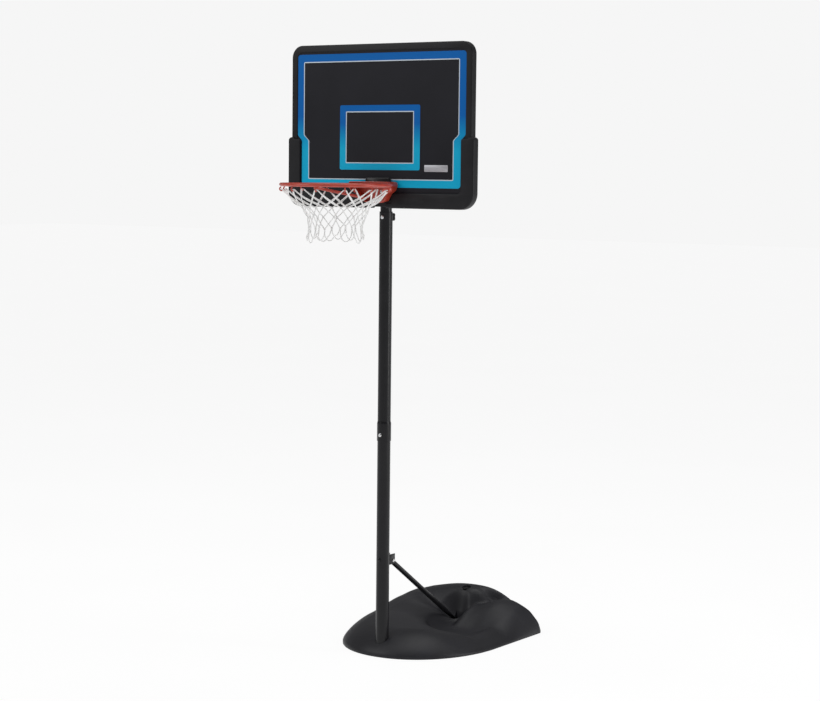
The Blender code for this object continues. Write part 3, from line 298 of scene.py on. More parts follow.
def powder_coat():
    """Black polyester powder baked on steel: semi-gloss, with an orange-peel skin that breaks up shine."""
    made, tree, shader, places = clouded_finish("black_powder_coated_steel", {
        "IOR": 1.5, "Specular IOR Level": 0.22, "Coat Weight": 0.1, "Coat Roughness": 0.22},
        22.0, 3.0, [(0.30, "#131316"), (0.75, "#1A1A1D")], 0.26, 0.36)
    # orange peel with lumps of about 1.6 mm
    peel = add_node(tree, "ShaderNodeTexNoise", {"Vector": places, "Scale": 620.0, "Detail": 1.5})
    bump = add_node(tree, "ShaderNodeBump", {"Height": peel, "Strength": 0.16, "Distance": 0.0004})
    dress(tree, shader, relief=bump)
    return made


def moulded_polypropylene(name, dark, light, low_gloss, high_gloss, grain_scale):
    """Injection-moulded polypropylene with a spark-eroded grain: even black with a soft, dry sheen."""
    made, tree, shader, places = clouded_finish(name, {
        "IOR": 1.49, "Specular IOR Level": 0.22},
        12.0, 4.0, [(0.32, dark), (0.70, light)], low_gloss, high_gloss)
    grain = add_node(tree, "ShaderNodeTexVoronoi", {"Vector": places, "Scale": grain_scale},
                     feature="SMOOTH_F1")
    bump = add_node(tree, "ShaderNodeBump", {"Height": grain, "Strength": 0.18, "Distance": 0.0004})
    dress(tree, shader, relief=bump)
    return made


def screen_ink(name, low_colour, high_colour, fade_low, fade_high):
    """Screen-printed ink on the panel: a blend up the board under a thin gloss, with a halftone grain."""
    made, tree, shader, places = surface_finish(name, {
        "IOR": 1.5, "Roughness": 0.34, "Specular IOR Level": 0.15})
    parts = add_node(tree, "ShaderNodeSeparateXYZ", {"Vector": places})
    rise = add_node(tree, "ShaderNodeMapRange", {"Value": parts.outputs["Z"], "From Min": fade_low,
                                                 "From Max": fade_high})
    # halftone, drawn at 1.4 mm so that it shows close by
    dots = add_node(tree, "ShaderNodeTexNoise", {"Vector": places, "Scale": 700.0, "Detail": 1.0})
    shift = add_node(tree, "ShaderNodeMath", {0: dots, 1: 0.16, 2: rise}, operation="MULTIPLY_ADD")
    tone = add_node(tree, "ShaderNodeValToRGB", {"Fac": shift},
                    [(0.08, low_colour), (1.0, high_colour)])
    dress(tree, shader, tone)
    return made


def panel_sheet():
    """Moulded panel with a charcoal printed skin: smooth, slightly glossy, with faint flow unevenness."""
    made, tree, shader, places = clouded_finish("moulded_panel_skin", {
        "IOR": 1.5, "Specular IOR Level": 0.15}, 5.0, 4.0, [(0.30, "#1B1B20"), (0.72, "#1F1F25")], 0.34, 0.44)
    skin = add_node(tree, "ShaderNodeTexNoise", {"Vector": places, "Scale": 520.0, "Detail": 2.0})
    bump = add_node(tree, "ShaderNodeBump", {"Height": skin, "Strength": 0.10, "Distance": 0.0003})
    dress(tree, shader, relief=bump)
    return made


def rim_paint():
    """Orange-red enamel sprayed on steel: semi-gloss, with darker rubbed and chipped spots a few mm wide."""
    made, tree, shader, places = surface_finish("sprayed_orange_enamel", {
        "IOR": 1.5, "Coat Weight": 0.2, "Coat Roughness": 0.2})
    cloud = add_node(tree, "ShaderNodeTexNoise", {"Vector": places, "Scale": 30.0, "Detail": 4.0})
    chips = add_node(tree, "ShaderNodeTexNoise", {"Vector": places, "Scale": 150.0, "Detail": 3.0,
                                                  "Roughness": 0.7})
    spots = add_node(tree, "ShaderNodeMapRange", {"Value": chips, "From Min": 0.68,
                                                  "From Max": 0.72})
    tone = add_node(tree, "ShaderNodeValToRGB", {"Fac": cloud},
                    [(0.30, "#A83424"), (0.72, "#BC412E")])
    worn = add_node(tree, "ShaderNodeMixRGB", {"Fac": spots, "Color1": tone,
                                               "Color2": linear("#6E2A20")})
    gloss = add_node(tree, "ShaderNodeMapRange", {"Value": cloud, "To Min": 0.28, "To Max": 0.42})
    bump = add_node(tree, "ShaderNodeBump", {"Height": chips, "Strength": 0.12, "Distance": 0.0005})
    dress(tree, shader, worn, gloss, bump)
    return made


def zinc_plate():
    """Bright zinc on pressed steel: silver with a faint blue and straw cast and a slightly clouded shine."""
    return clouded_finish("bright_zinc_plate", {"Metallic": 1.0}, 260.0, 3.0,
                          [(0.25, "#B9BEC4"), (0.5, "#D0D1D3"), (0.8, "#CFCABC")], 0.22, 0.38)[0]


def brushed_trim():
    """Anodised aluminium sheet brushed along its length: light grey with fine level streaks."""
    made, tree, shader, places = surface_finish("brushed_anodised_aluminium", {"Metallic": 0.75})
    stretch = add_node(tree, "ShaderNodeMapping", {"Vector": places, "Scale": (40.0, 900.0, 1400.0)})
    streaks = add_node(tree, "ShaderNodeTexNoise", {"Vector": stretch, "Scale": 1.0,
                                                    "Detail": 2.0})
    tone = add_node(tree, "ShaderNodeValToRGB", {"Fac": streaks},
                    [(0.3, "#A4A4A9"), (0.7, "#BABABF")])
    gloss = add_node(tree, "ShaderNodeMapRange", {"Value": streaks, "To Min": 0.36,
                                                  "To Max": 0.5})
    dress(tree, shader, tone, gloss)
    return made


def braided_polyester():
    """Braided white polyester cord: plaited ridges along each strand, matt with a slight fuzz."""
    made, tree, shader, places = surface_finish("braided_polyester_cord", {
        "Roughness": 0.78, "Sheen Weight": 0.35, "Sheen Roughness": 0.5, "Subsurface Weight": 0.1,
        "Subsurface Radius": (0.002, 0.002, 0.002), "IOR": 1.5})
    # the plait's ridges are drawn 1.6 mm apart
    plait = add_node(tree, "ShaderNodeTexWave", {
        "Vector": places, "Scale": 95.0, "Distortion": 3.0, "Detail": 1.0, "Detail Scale": 2.0},
                     bands_direction="DIAGONAL")
    dirt = add_node(tree, "ShaderNodeTexNoise", {"Vector": places, "Scale": 35.0, "Detail": 3.0})
    tone = add_node(tree, "ShaderNodeValToRGB", {"Fac": dirt},
                    [(0.30, "#DEDEDC"), (0.70, "#F4F4F4")])
    bump = add_node(tree, "ShaderNodeBump", {"Height": plait.outputs["Fac"], "Strength": 0.5,
                                             "Distance": 0.0006})
    dress(tree, shader, tone, relief=bump)
    return made


def floor_paint():
    """Matt white studio floor, lit from beneath like a light table, so that it stays pale far away."""
    made, tree, shader, places = surface_finish("matt_white_floor", {
        "Roughness": 0.9, "Specular IOR Level": 0.1, "Emission Color": (1.0, 1.0, 1.0, 1.0),
        "Emission Strength": FLOOR_GLOW})
    cloud = add_node(tree, "ShaderNodeTexNoise", {"Vector": places, "Scale": 0.8, "Detail": 2.0})
    tone = add_node(tree, "ShaderNodeValToRGB", {"Fac": cloud},
                    [(0.3, "#5C5C5C"), (0.7, "#626262")])
    dress(tree, shader, tone)
    return made


FINISHES = {
    "tank_plastic": blow_moulded_polyethylene(),
    "powder_coat": powder_coat(),
    "frame_plastic": moulded_polypropylene("moulded_frame_plastic", "#131315", "#19191C",
                                           0.36, 0.46, 900.0),
    "bumper_plastic": moulded_polypropylene("moulded_bumper_plastic", "#161619", "#1D1D20",
                                            0.40, 0.50, 750.0),
    "knob_plastic": moulded_polypropylene("moulded_nylon", "#101011", "#19191B", 0.32, 0.42, 1100.0),
    "panel_plastic": panel_sheet(),
    "trim_plate": brushed_trim(),
    "rim_paint": rim_paint(),
    "net_cord": braided_polyester(),
    "zinc": zinc_plate(),
}
BAND_INK = screen_ink("blue_band_ink", "#0CA6CE", "#005EAA", 1.86, 2.00)
TARGET_INK = screen_ink("blue_target_ink", "#0CA6CE", "#005EAA", 1.87, 1.97)
WHITE_INK = screen_ink("white_line_ink", "#BFCAD2", "#C9D3DC", 1.7, 2.2)


# -------- mesh helpers
def new_piece(name, mesh):
    """Put a mesh in the scene as an object at the origin."""
    made = bpy.data.objects.new(name, mesh)
    bpy.context.scene.collection.objects.link(made)
    return made


def applied(piece):
    """Make a piece's modifiers its mesh."""
    bpy.context.view_layer.update()
    seen = piece.evaluated_get(bpy.context.evaluated_depsgraph_get())
    mesh = bpy.data.meshes.new_from_object(seen)
    old = piece.data
    piece.modifiers.clear()
    piece.data = mesh
    mesh.name = piece.name
    bpy.data.meshes.remove(old)
    return piece


def settle(piece, slot, stands_for, finish=None, body=None, crease=38):
    """Give a finished piece its shading, material and body, and hide the CAD nodes that it stands for."""
    piece.data.materials.clear()
    piece.data.materials.append(finish or FINISHES[slot])
    for face in piece.data.polygons:
        face.material_index = 0
    piece.data.shade_smooth()
    piece.data.set_sharp_from_angle(angle=math.radians(crease))
    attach(piece, body or BODY_OF[stands_for[0]])
    if stands_for:
        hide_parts(*stands_for)
    return piece


def welded(mesh, distance):
    """Join a mesh's doubled points and turn its faces outwards."""
    form = bmesh.new()
    form.from_mesh(mesh)
    bmesh.ops.remove_doubles(form, verts=form.verts, dist=distance)
    bmesh.ops.recalc_face_normals(form, faces=form.faces)
    form.to_mesh(mesh)
    form.free()
    return mesh


def mesh_from(name, vertices, faces):
    """A closed mesh from points and faces, with its faces turned outwards."""
    mesh = bpy.data.meshes.new(name)
    mesh.from_pydata([tuple(point) for point in vertices], [], faces)
    return new_piece(name, welded(mesh, 1e-6))


def curve_mesh(curve, name, matrix=None):
    """Make a curve a welded mesh with its place in the mesh."""
    holder = bpy.data.objects.new(name + "_curve", curve)
    bpy.context.scene.collection.objects.link(holder)
    if matrix is not None:
        holder.matrix_world = matrix
    bpy.context.view_layer.update()
    mesh = bpy.data.meshes.new_from_object(holder.evaluated_get(bpy.context.evaluated_depsgraph_get()))
    mesh.transform(holder.matrix_world)
    bpy.data.objects.remove(holder, do_unlink=True)
    mesh.name = name
    return new_piece(name, welded(mesh, 2e-6))


def upright_plate(name, loops, front_y, back_y, edge=0.0):
    """Flat outlines in X and Z with any holes, between two depths, with rounded edges."""
    curve = bpy.data.curves.new(name, "CURVE")
    curve.dimensions = "2D"
    curve.fill_mode = "BOTH"
    curve.extrude = (back_y - front_y) / 2 - edge
    curve.bevel_depth = edge
    curve.offset = -edge
    curve.bevel_resolution = 3
    for loop in loops:
        spline = curve.splines.new("POLY")
        spline.points.add(len(loop) - 1)
        for point, (across, along) in zip(spline.points, loop):
            point.co = (across, along, 0.0, 1.0)
        spline.use_cyclic_u = True
    place = Matrix.Translation((0, (front_y + back_y) / 2, 0)) @ Matrix.Rotation(math.pi / 2, 4, "X")
    return curve_mesh(curve, name, place)


def cut(piece, *cutters):
    """Cut pieces away from a piece and remove them."""
    for cutter in cutters:
        boolean = piece.modifiers.new(cutter.name, "BOOLEAN")
        boolean.operation = "DIFFERENCE"
        boolean.solver = "EXACT"
        boolean.object = cutter
    applied(piece)
    for cutter in cutters:
        bpy.data.objects.remove(cutter, do_unlink=True)
    return piece


def arc(centre, radius, start, end, steps):
    """Points of an arc; the angles are in degrees."""
    turns = [math.radians(start + (end - start) * i / steps) for i in range(steps + 1)]
    return [(centre[0] + radius * math.cos(turn), centre[1] + radius * math.sin(turn)) for turn in turns]


def rounded_rectangle(half_width, low, high, radius, steps=10):
    """A rectangle about X = 0 with four equal round corners."""
    across, bottom, top = half_width - radius, low + radius, high - radius
    return (arc((across, bottom), radius, -90, 0, steps) + arc((across, top), radius, 0, 90, steps)
            + arc((-across, top), radius, 90, 180, steps) + arc((-across, bottom), radius, 180, 270, steps))


def lathe(name, profile, centre=(0.0, 0.0), sides=TUBE_SIDES, closed=True):
    """Turn a profile of (radius, z) about an upright axis; an open profile starts and ends on the axis."""
    vertices, faces = [], []
    count = len(profile)
    for i in range(sides):
        turn = 2 * math.pi * i / sides
        for radius, z in profile:
            vertices.append((centre[0] + radius * math.cos(turn), centre[1] + radius * math.sin(turn), z))
    last = count if closed else count - 1
    for i in range(sides):
        after = (i + 1) % sides
        for j in range(last):
            k = (j + 1) % count
            faces.append((i * count + j, after * count + j, after * count + k, i * count + k))
    return mesh_from(name, vertices, faces)


def refined(node, edge=0.0, crease=38):
    """A CAD node's solid, welded, with rounded edges and smooth shading."""
    mesh = frame["nodes"][node].data.copy()
    form = bmesh.new()
    form.from_mesh(mesh)
    bmesh.ops.remove_doubles(form, verts=form.verts, dist=1e-6)
    bmesh.ops.dissolve_limit(form, angle_limit=math.radians(0.5), verts=form.verts, edges=form.edges)
    form.to_mesh(mesh)
    form.free()
    piece = new_piece(node + "_finished", mesh)
    if edge:
        rounding = piece.modifiers.new("rounded_edges", "BEVEL")
        rounding.width = edge
        rounding.segments = 2
        rounding.limit_method = "ANGLE"
        rounding.angle_limit = math.radians(32)
        rounding.use_clamp_overlap = True
        applied(piece)
    return settle(piece, SLOT_OF[node], [node], crease=crease)


# -------- tank
def tank_outline(count):
    """Plan of the tank as evenly spaced points."""
    loop = []
    for i in range(121):
        turn = math.pi + math.pi * i / 120
        across, along = math.cos(turn), math.sin(turn)
        power = 2 / TANK_ROUNDNESS
        loop.append((math.copysign(abs(across) ** power, across) * TANK_HALF_WIDTH,
                     TANK_MIDDLE_Y - abs(along) ** power * TANK_FRONT_LENGTH))
    corner = (TANK_CORNER_HALF_WIDTH - TANK_CORNER_RADIUS, TANK_CORNER_Y - TANK_CORNER_RADIUS)
    right = arc(corner, TANK_CORNER_RADIUS, 0, 80, 8)
    sag = TANK_REAR_Y - TANK_CORNER_Y
    rear = []
    for i in range(1, 48):
        across = corner[0] * (1 - i / 24)
        rear.append((across, TANK_REAR_Y - sag * (across / corner[0]) ** 2))
    loop = np.array(loop + right + rear + [(-across, along) for across, along in reversed(right)])
    closed = np.vstack([loop, loop[:1]])
    lengths = np.concatenate([[0], np.cumsum(np.linalg.norm(np.diff(closed, axis=0), axis=1))])
    places = np.arange(count) / count * lengths[-1]
    return np.stack([np.interp(places, lengths, closed[:, k]) for k in (0, 1)], axis=1)


def ease(value, steps):
    """Smooth steps through (place, height) pairs."""
    result = np.full_like(value, steps[0][1])
    for (start, low), (end, high) in zip(steps, steps[1:]):
        share = np.clip((value - start) / (end - start), 0, 1)
        result += (high - low) * share * share * (3 - 2 * share)
    return result


def switch(value):
    """Smooth switch from 0 to 1 as a value goes from well below 0 to well above it."""
    return 1 / (1 + np.exp(-np.clip(value, -40, 40)))


def tank_body_height(x, y):
    """The tank's top: a high body on the left, a low side with a dish, and a curved lobe on the right."""
    # high body: it climbs to a rear dome, falls off at the far left and is scooped out by the well
    along = ease(y, [(0.02, SHOULDER_HEIGHT), (0.26, SHOULDER_HEIGHT + 0.012), (0.48, BODY_HEIGHT)])
    reach = ((x - 0.02) / 0.19) ** 2 + ((y - DOME_Y) / 0.125) ** 2
    high = along + (DOME_HEIGHT - BODY_HEIGHT) * np.exp(-reach ** 1.4) - 0.12 * np.clip(-x - 0.17, 0, 1)
    high = high - SCOOP_DEPTH * np.exp(-(x / SCOOP_REACH) ** 2 - ((y - SCOOP_Y) / SCOOP_LENGTH) ** 2)
    # the step down from it wanders over the tank, and is softer at the front
    step_x = ease(y, [(0.10, 0.12), (0.30, -0.015), (0.50, -0.028), (0.60, 0.10), (0.70, 0.36)])
    on_high = switch((step_x - x) / ease(y, [(0.05, 0.05), (0.33, 0.020)]))
    # low side, with a round dish whose floor rises a little outwards
    low = ease(y, [(0.06, SHOULDER_HEIGHT), (0.24, APRON_HEIGHT)]) - ease(x, [(0.16, 0.0), (0.29, 0.026)])
    round_dish = np.hypot(x - DISH_X, y - DISH_Y) / DISH_RADIUS
    dish = switch((1 - round_dish) / 0.035) * ease(x, [(0.17, 1.0), (0.27, 0.0)])
    low += (DISH_FLOOR + 0.010 * round_dish ** 2 - low) * dish
    # lobe: a curved crest with a rounded slope on each side
    crest_y = ease(x, [(0.0, 0.53), (0.30, 0.625)])
    crest = ease(x, [(-0.005, 0.0), (0.075, LOBE_HEIGHT - 0.024), (0.17, LOBE_HEIGHT),
                     (0.31, LOBE_HEIGHT - 0.026)])
    before = np.clip(crest_y - y, 0, 1) / ease(x, [(0.12, 0.145), (0.28, 0.21)])
    behind = np.clip(y - crest_y, 0, 1) / 0.16
    lobe = crest * np.exp(-before ** 2 - behind ** 2.4)
    body = high * on_high + low * (1 - on_high)
    share = np.clip(0.5 + 0.5 * (body - lobe) / 0.010, 0, 1)
    top = lobe * (1 - share) + body * share + 0.010 * share * (1 - share)
    round_well = np.hypot(x / np.where(x < 0, WELL_LEFT, WELL_RIGHT), (y - WELL_Y) / WELL_LENGTH)
    return DISH_FLOOR + (top - DISH_FLOOR) * ease(round_well, [(0.3, 0.0), (1.6, 1.0)])


def edge_distance(points, loop):
    """Distance from each point to a closed loop."""
    best = np.full(len(points), 9.0)
    for start, end in zip(loop, np.roll(loop, -1, axis=0)):
        side = end - start
        share = np.clip(((points - start) @ side) / (side @ side), 0, 1)
        best = np.minimum(best, np.linalg.norm(points - start - share[:, None] * side, axis=1))
    return best


def make_tank():
    """The tank: a flat floor, an upright lip and rings up to the middle, then its recesses."""
    loop = tank_outline(TANK_ROUND)
    middle = np.array([0.0, TANK_MIDDLE_Y])
    inward = (np.arange(TANK_RINGS) / TANK_RINGS) ** 1.2
    plan = np.concatenate([loop + (middle - loop) * share for share in inward] + [middle[None, :]])
    edge = edge_distance(plan, tank_outline(400))
    rearward = np.clip((plan[:, 1] - 0.05) / 0.50, 0, 1)
    skirt = TANK_SKIRT_FRONT + (TANK_SKIRT_REAR - TANK_SKIRT_FRONT) * rearward
    rise = (1 - (1 - np.minimum(edge / skirt, 1)) ** 2) ** 0.72
    top = TANK_FOOT_LIP + (tank_body_height(plan[:, 0], plan[:, 1]) - TANK_FOOT_LIP) * rise
    vertices = [(x, y, 0.0) for x, y in loop] + [(x, y, z) for (x, y), z in zip(plan, top)]
    faces = [tuple(reversed(range(TANK_ROUND)))]
    for ring in range(TANK_RINGS):
        for i in range(TANK_ROUND):
            after = (i + 1) % TANK_ROUND
            low, high = ring * TANK_ROUND, (ring + 1) * TANK_ROUND
            faces.append((low + i, low + after, high + after, high + i))
    last = TANK_RINGS * TANK_ROUND
    for i in range(TANK_ROUND):
        faces.append((last + i, last + (i + 1) % TANK_ROUND, len(vertices) - 1))
    tank = mesh_from("tank_shell", vertices, faces)
    seat_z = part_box("filler_cap")[1][2] - CAP_HEAD - TOUCH
    throat_z = seat_z - FILLER_THROAT_DEPTH
    seat_edge = [(0.0, ABOVE_TANK), (FILLER_RADIUS, ABOVE_TANK), (FILLER_RADIUS, seat_z),
                 (FILLER_THROAT_RADIUS, seat_z), (FILLER_THROAT_RADIUS, throat_z), (0.0, throat_z)]
    seat = lathe("filler_seat", seat_edge, (0.0, FILLER_Y), 48, closed=False)
    socket_edge = [(0.0, ABOVE_TANK), (SOCKET_RADIUS, ABOVE_TANK), (SOCKET_RADIUS, SOCKET_FLOOR_Z),
                   (0.0, SOCKET_FLOOR_Z)]
    socket = lathe("pole_socket", socket_edge, (0.0, 0.0), TUBE_SIDES, closed=False)
    toe_low, toe_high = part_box("strut")
    half, toe_z = LANDING_HALF_WIDTH, toe_low[2] - TOUCH
    landing = [(-half, toe_z), (half, toe_z), (half, ABOVE_TANK), (-half, ABOVE_TANK)]
    landing = upright_plate("strut_landing", [landing], toe_high[1] - LANDING_LENGTH,
                            toe_high[1] + LANDING_PAST_TOE)
    bolt_low, bolt_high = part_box("strut_toe_bolt")
    bolt_y, hole_z = (bolt_low[1] + bolt_high[1]) / 2, bolt_low[2] - 0.001
    hole_edge = [(0.0, 0.2), (TOE_BOLT_HOLE_RADIUS, 0.2), (TOE_BOLT_HOLE_RADIUS, hole_z), (0.0, hole_z)]
    hole = lathe("toe_bolt_hole", hole_edge, (0.0, bolt_y), 24, closed=False)
    cut(tank, seat, socket, landing, hole)
    return settle(tank, "tank_plastic", ["base_tank"], crease=48)


# -------- pole
def tube_profile(outer, inner, low, high):
    """Section of a straight tube with slightly rounded ends."""
    e = TUBE_EDGE
    return [(outer, high - e), (outer, low + e), (outer - e, low), (inner + e, low), (inner, low + e),
            (inner, high - e), (inner + e, high), (outer - e, high)]


def straight_tube(name, outer):
    """A straight length of the pole, in the place and to the length of its CAD tube."""
    low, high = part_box(name + "_tube")
    tube = lathe(name + "_section", tube_profile(outer, outer - TUBE_WALL, low[2], high[2]))
    settle(tube, "powder_coat", [name + "_tube"])


def make_pole():
    """The three pole tubes as finely turned tubes; the middle one has a swaged bell over the lowest."""
    straight_tube("pole_bottom", TUBE_RADIUS)
    inner = TUBE_RADIUS - TUBE_WALL
    neck = JOINT_Z + BELL_LENGTH
    bell_inner = TUBE_RADIUS + BELL_GAP
    bell_outer = bell_inner + TUBE_WALL
    outside, inside = [], []
    for i in range(9):
        share = i / 8
        swell = (math.cos(math.pi * share) + 1) / 2
        z = neck + BELL_TAPER * share
        outside.append((TUBE_RADIUS + (bell_outer - TUBE_RADIUS) * swell, z))
        inside.append((inner + (bell_inner - inner) * swell, z))
    e = TUBE_EDGE
    profile = [(TUBE_RADIUS, MIDDLE_TOP_Z - e)] + outside[::-1] + [(bell_outer, JOINT_Z + e)]
    profile += [(bell_outer - e, JOINT_Z), (bell_inner + e, JOINT_Z), (bell_inner, JOINT_Z + e)] + inside
    profile += [(inner, MIDDLE_TOP_Z - e), (inner + e, MIDDLE_TOP_Z), (TUBE_RADIUS - e, MIDDLE_TOP_Z)]
    middle = lathe("pole_middle_section", profile)
    settle(middle, "powder_coat", ["pole_middle_tube"])
    straight_tube("pole_top", TOP_TUBE_RADIUS)


# -------- board
def make_board_surround():
    """Moulded frame with softened edges and the ledge that the panel sits on."""
    outer = rounded_rectangle(FRAME_HALF_WIDTH, FRAME_LOW_Z, BOARD_TOP_Z, FRAME_CORNER, 16)
    pocket = rounded_rectangle(PANEL_HALF_WIDTH, PANEL_LOW_Z, PANEL_HIGH_Z, PANEL_CORNER)
    ledge = rounded_rectangle(PANEL_HALF_WIDTH - FRAME_LIP, PANEL_LOW_Z + FRAME_LIP, PANEL_HIGH_Z - FRAME_LIP,
                              0.016)
    surround = upright_plate("board_surround", [outer, pocket], FRAME_FRONT_Y, BOARD_BACK_Y, FRAME_EDGE)
    ledge = upright_plate("panel_ledge", [pocket, ledge], PANEL_BACK_Y, BOARD_BACK_Y - FRAME_EDGE)
    form = bmesh.new()
    form.from_mesh(surround.data)
    form.from_mesh(ledge.data)
    form.to_mesh(surround.data)
    form.free()
    bpy.data.objects.remove(ledge, do_unlink=True)
    return settle(surround, "frame_plastic", ["board_frame"])


def stepped_outline(lower, upper, low, high, corner, steps=12):
    """Closed outline that is wider above the jog than below it, with small round corners."""
    side = arc((lower - corner, low + corner), corner, -90, 0, 6)
    for i in range(steps + 1):
        share = i / steps
        side.append((lower + (upper - lower) * share * share * (3 - 2 * share),
                     JOG_LOW_Z + (JOG_HIGH_Z - JOG_LOW_Z) * share))
    side += arc((upper - corner, high - corner), corner, 0, 90, 6)
    return side + [(-x, z) for x, z in reversed(side)]


def make_prints():
    """The printed blue bands, each with a white line along its inner edge."""
    front, back = PANEL_FRONT_Y - 2 * PRINT_THICKNESS, PANEL_FRONT_Y - PRINT_THICKNESS / 2
    line = PRINT_LINE
    band = stepped_outline(BAND_LOWER, BAND_UPPER, BAND_LOW_Z, BAND_HIGH_Z, 0.012)
    line_out = stepped_outline(LINE_LOWER, LINE_UPPER, LINE_LOW_Z, LINE_HIGH_Z, 0.006)
    line_in = stepped_outline(LINE_LOWER - line, LINE_UPPER - line, LINE_LOW_Z + line, LINE_HIGH_Z - line,
                              0.003)
    target = rounded_rectangle(TARGET_HALF_WIDTH, TARGET_LOW_Z, TARGET_HIGH_Z, 0.007)
    aim_out = rounded_rectangle(TARGET_LINE_HALF_WIDTH, TARGET_LINE_LOW_Z, TARGET_LINE_HIGH_Z, 0.003)
    aim_in = rounded_rectangle(TARGET_LINE_HALF_WIDTH - line, TARGET_LINE_LOW_Z + line,
                               TARGET_LINE_HIGH_Z - line, 0.0015)
    for name, loops, ink in (("printed_border_band", [band, line_out], BAND_INK),
                             ("printed_border_line", [line_out, line_in], WHITE_INK),
                             ("printed_target_band", [target, aim_out], TARGET_INK),
                             ("printed_target_line", [aim_out, aim_in], WHITE_INK)):
        settle(upright_plate(name, loops, front, back), "panel_plastic", [], ink, "mast")


def bumper_outline(side):
    """L outline of one half of the bumper; side is -1 for the left half and 1 for the right."""
    outer, low = BUMPER_HALF_WIDTH, BOARD_BOTTOM_Z
    inner, top, leg = BUMPER_INNER, BUMPER_RUN_TOP_Z, BUMPER_LEG_TOP_Z
    points = [(BUMPER_NOTCH, low)]
    points += arc((outer - BUMPER_CORNER, low + BUMPER_CORNER), BUMPER_CORNER, -90, 0, 20)
    tip, inset, crook = BUMPER_TIP_RADIUS, BUMPER_INSET_RADIUS, BUMPER_CROOK_RADIUS
    points += arc((outer - tip, leg - tip), tip, 0, 90, 6)
    # the leg's top steps down a little towards the panel
    points += [(outer - 0.024, leg)]
    points += arc((outer - 0.030, leg - 0.0112), 0.006, 60, 95, 3)
    points += arc((inner + inset, leg - 0.013), inset, 90, 180, 6)
    points += arc((inner - crook, top + crook), crook, 0, -90, 8)
    points += [(BUMPER_PLATE_ROOM, top), (BUMPER_PLATE_ROOM, BUMPER_NOTCH_TOP_Z),
               (BUMPER_NOTCH, BUMPER_NOTCH_TOP_Z)]
    return [(side * x, z) for x, z in points]


def make_bumpers():
    """Two soft-edged L halves that wrap the frame's lower corners."""
    for name, side in (("left", -1), ("right", 1)):
        half = upright_plate("corner_bumper_" + name, [bumper_outline(side)], BUMPER_FRONT_Y, BOARD_BACK_Y,
                             BUMPER_EDGE)
        room = rounded_rectangle(FRAME_HALF_WIDTH + TOUCH, FRAME_LOW_Z - TOUCH, BOARD_TOP_Z, FRAME_CORNER, 16)
        room = upright_plate("frame_room", [room], FRAME_FRONT_Y - TOUCH, BOARD_BACK_Y + 0.02)
        cut(half, room)
        settle(half, "bumper_plastic", ["board_bumper_" + name], crease=50)


# -------- rim
def sweep(name, paths, radius, sides=16):
    """Round rods along lists of points, with closed rounded ends, in one mesh."""
    vertices, faces = [], []
    for path in paths:
        points = [Vector(point) for point in path]
        first_way, last_way = (points[1] - points[0]).normalized(), (points[-1] - points[-2]).normalized()
        normal = first_way.orthogonal().normalized()
        stations = [(points[0], first_way, radius * END_SHARE),
                    (points[0] + first_way * radius * END_ROUND, first_way, radius)]
        for before, here, after in zip(points, points[1:], points[2:]):
            stations.append((here, (after - before).normalized(), radius))
        stations += [(points[-1] - last_way * radius * END_ROUND, last_way, radius),
                     (points[-1], last_way, radius * END_SHARE)]
        first = len(vertices)
        for centre, along, wide in stations:
            normal = (normal - along * normal.dot(along)).normalized()
            binormal = along.cross(normal)
            for i in range(sides):
                turn = 2 * math.pi * i / sides
                vertices.append(centre + normal * wide * math.cos(turn) + binormal * wide * math.sin(turn))
        for j in range(len(stations) - 1):
            for i in range(sides):
                after = (i + 1) % sides
                low, high = first + j * sides, first + (j + 1) * sides
                faces.append((low + i, low + after, high + after, high + i))
        last = first + (len(stations) - 1) * sides
        faces.append(tuple(first + i for i in reversed(range(sides))))
        faces.append(tuple(last + i for i in range(sides)))
    return mesh_from(name, vertices, faces)


def smoothed(points, steps=8):
    """A Catmull-Rom path through points."""
    points = [Vector(point) for point in points]
    ends = [points[0] * 2 - points[1]] + points + [points[-1] * 2 - points[-2]]
    path = []
    for a, b, c, d in zip(ends, ends[1:], ends[2:], ends[3:]):
        for i in range(steps):
            t = i / steps
            path.append(0.5 * (2 * b + (c - a) * t + (2 * a - 5 * b + 4 * c - d) * t ** 2
                               + (3 * b - a - 3 * c + d) * t ** 3))
    return path + [points[-1]]


def on_ring(angle, radius, z):
    """A point round the ring's axis; the angle is in degrees from +X."""
    turn = math.radians(angle)
    return Vector((radius * math.cos(turn), RIM_Y + radius * math.sin(turn), z))


def make_ring():
    """The ring's round rod."""
    sides, around = RING_SIDES, RING_STEPS
    vertices, faces = [], []
    for i in range(around):
        turn = 2 * math.pi * i / around
        for j in range(sides):
            bend = 2 * math.pi * j / sides
            radius = RIM_RADIUS + RIM_ROD * math.cos(bend)
            vertices.append((radius * math.cos(turn), RIM_Y + radius * math.sin(turn),
                             RIM_Z + RIM_ROD * math.sin(bend)))
            after, up = (i + 1) % around, (j + 1) % sides
            faces.append((i * sides + j, after * sides + j, after * sides + up, i * sides + up))
    settle(mesh_from("rim_rod", vertices, faces), "rim_paint", ["rim_ring"])


def make_braces():
    """The two stays from under the ring to the bracket's foot."""
    for name, side in (("left", -1), ("right", 1)):
        under = RIM_Z - RIM_ROD - BRACE_RADIUS - TOUCH
        path = [on_ring(30, RIM_RADIUS, under), on_ring(35, RIM_RADIUS - 0.013, under - 0.002),
                on_ring(40, RIM_RADIUS - 0.024, under - 0.006)]
        foot = Vector((BRACKET_TOE + 0.002, BRACKET_BACK_Y - BRACKET_SHEET - TOUCH - 0.7 * BRACE_RADIUS,
                       BRACKET_BOTTOM_Z + 0.014))
        path += [path[-1].lerp(foot, 0.33), path[-1].lerp(foot, 0.66), foot]
        path = [(side * x, y, z) for x, y, z in smoothed(path, 6)]
        settle(sweep("rim_stay_" + name, [path], BRACE_RADIUS, 20), "rim_paint", ["rim_brace_" + name])


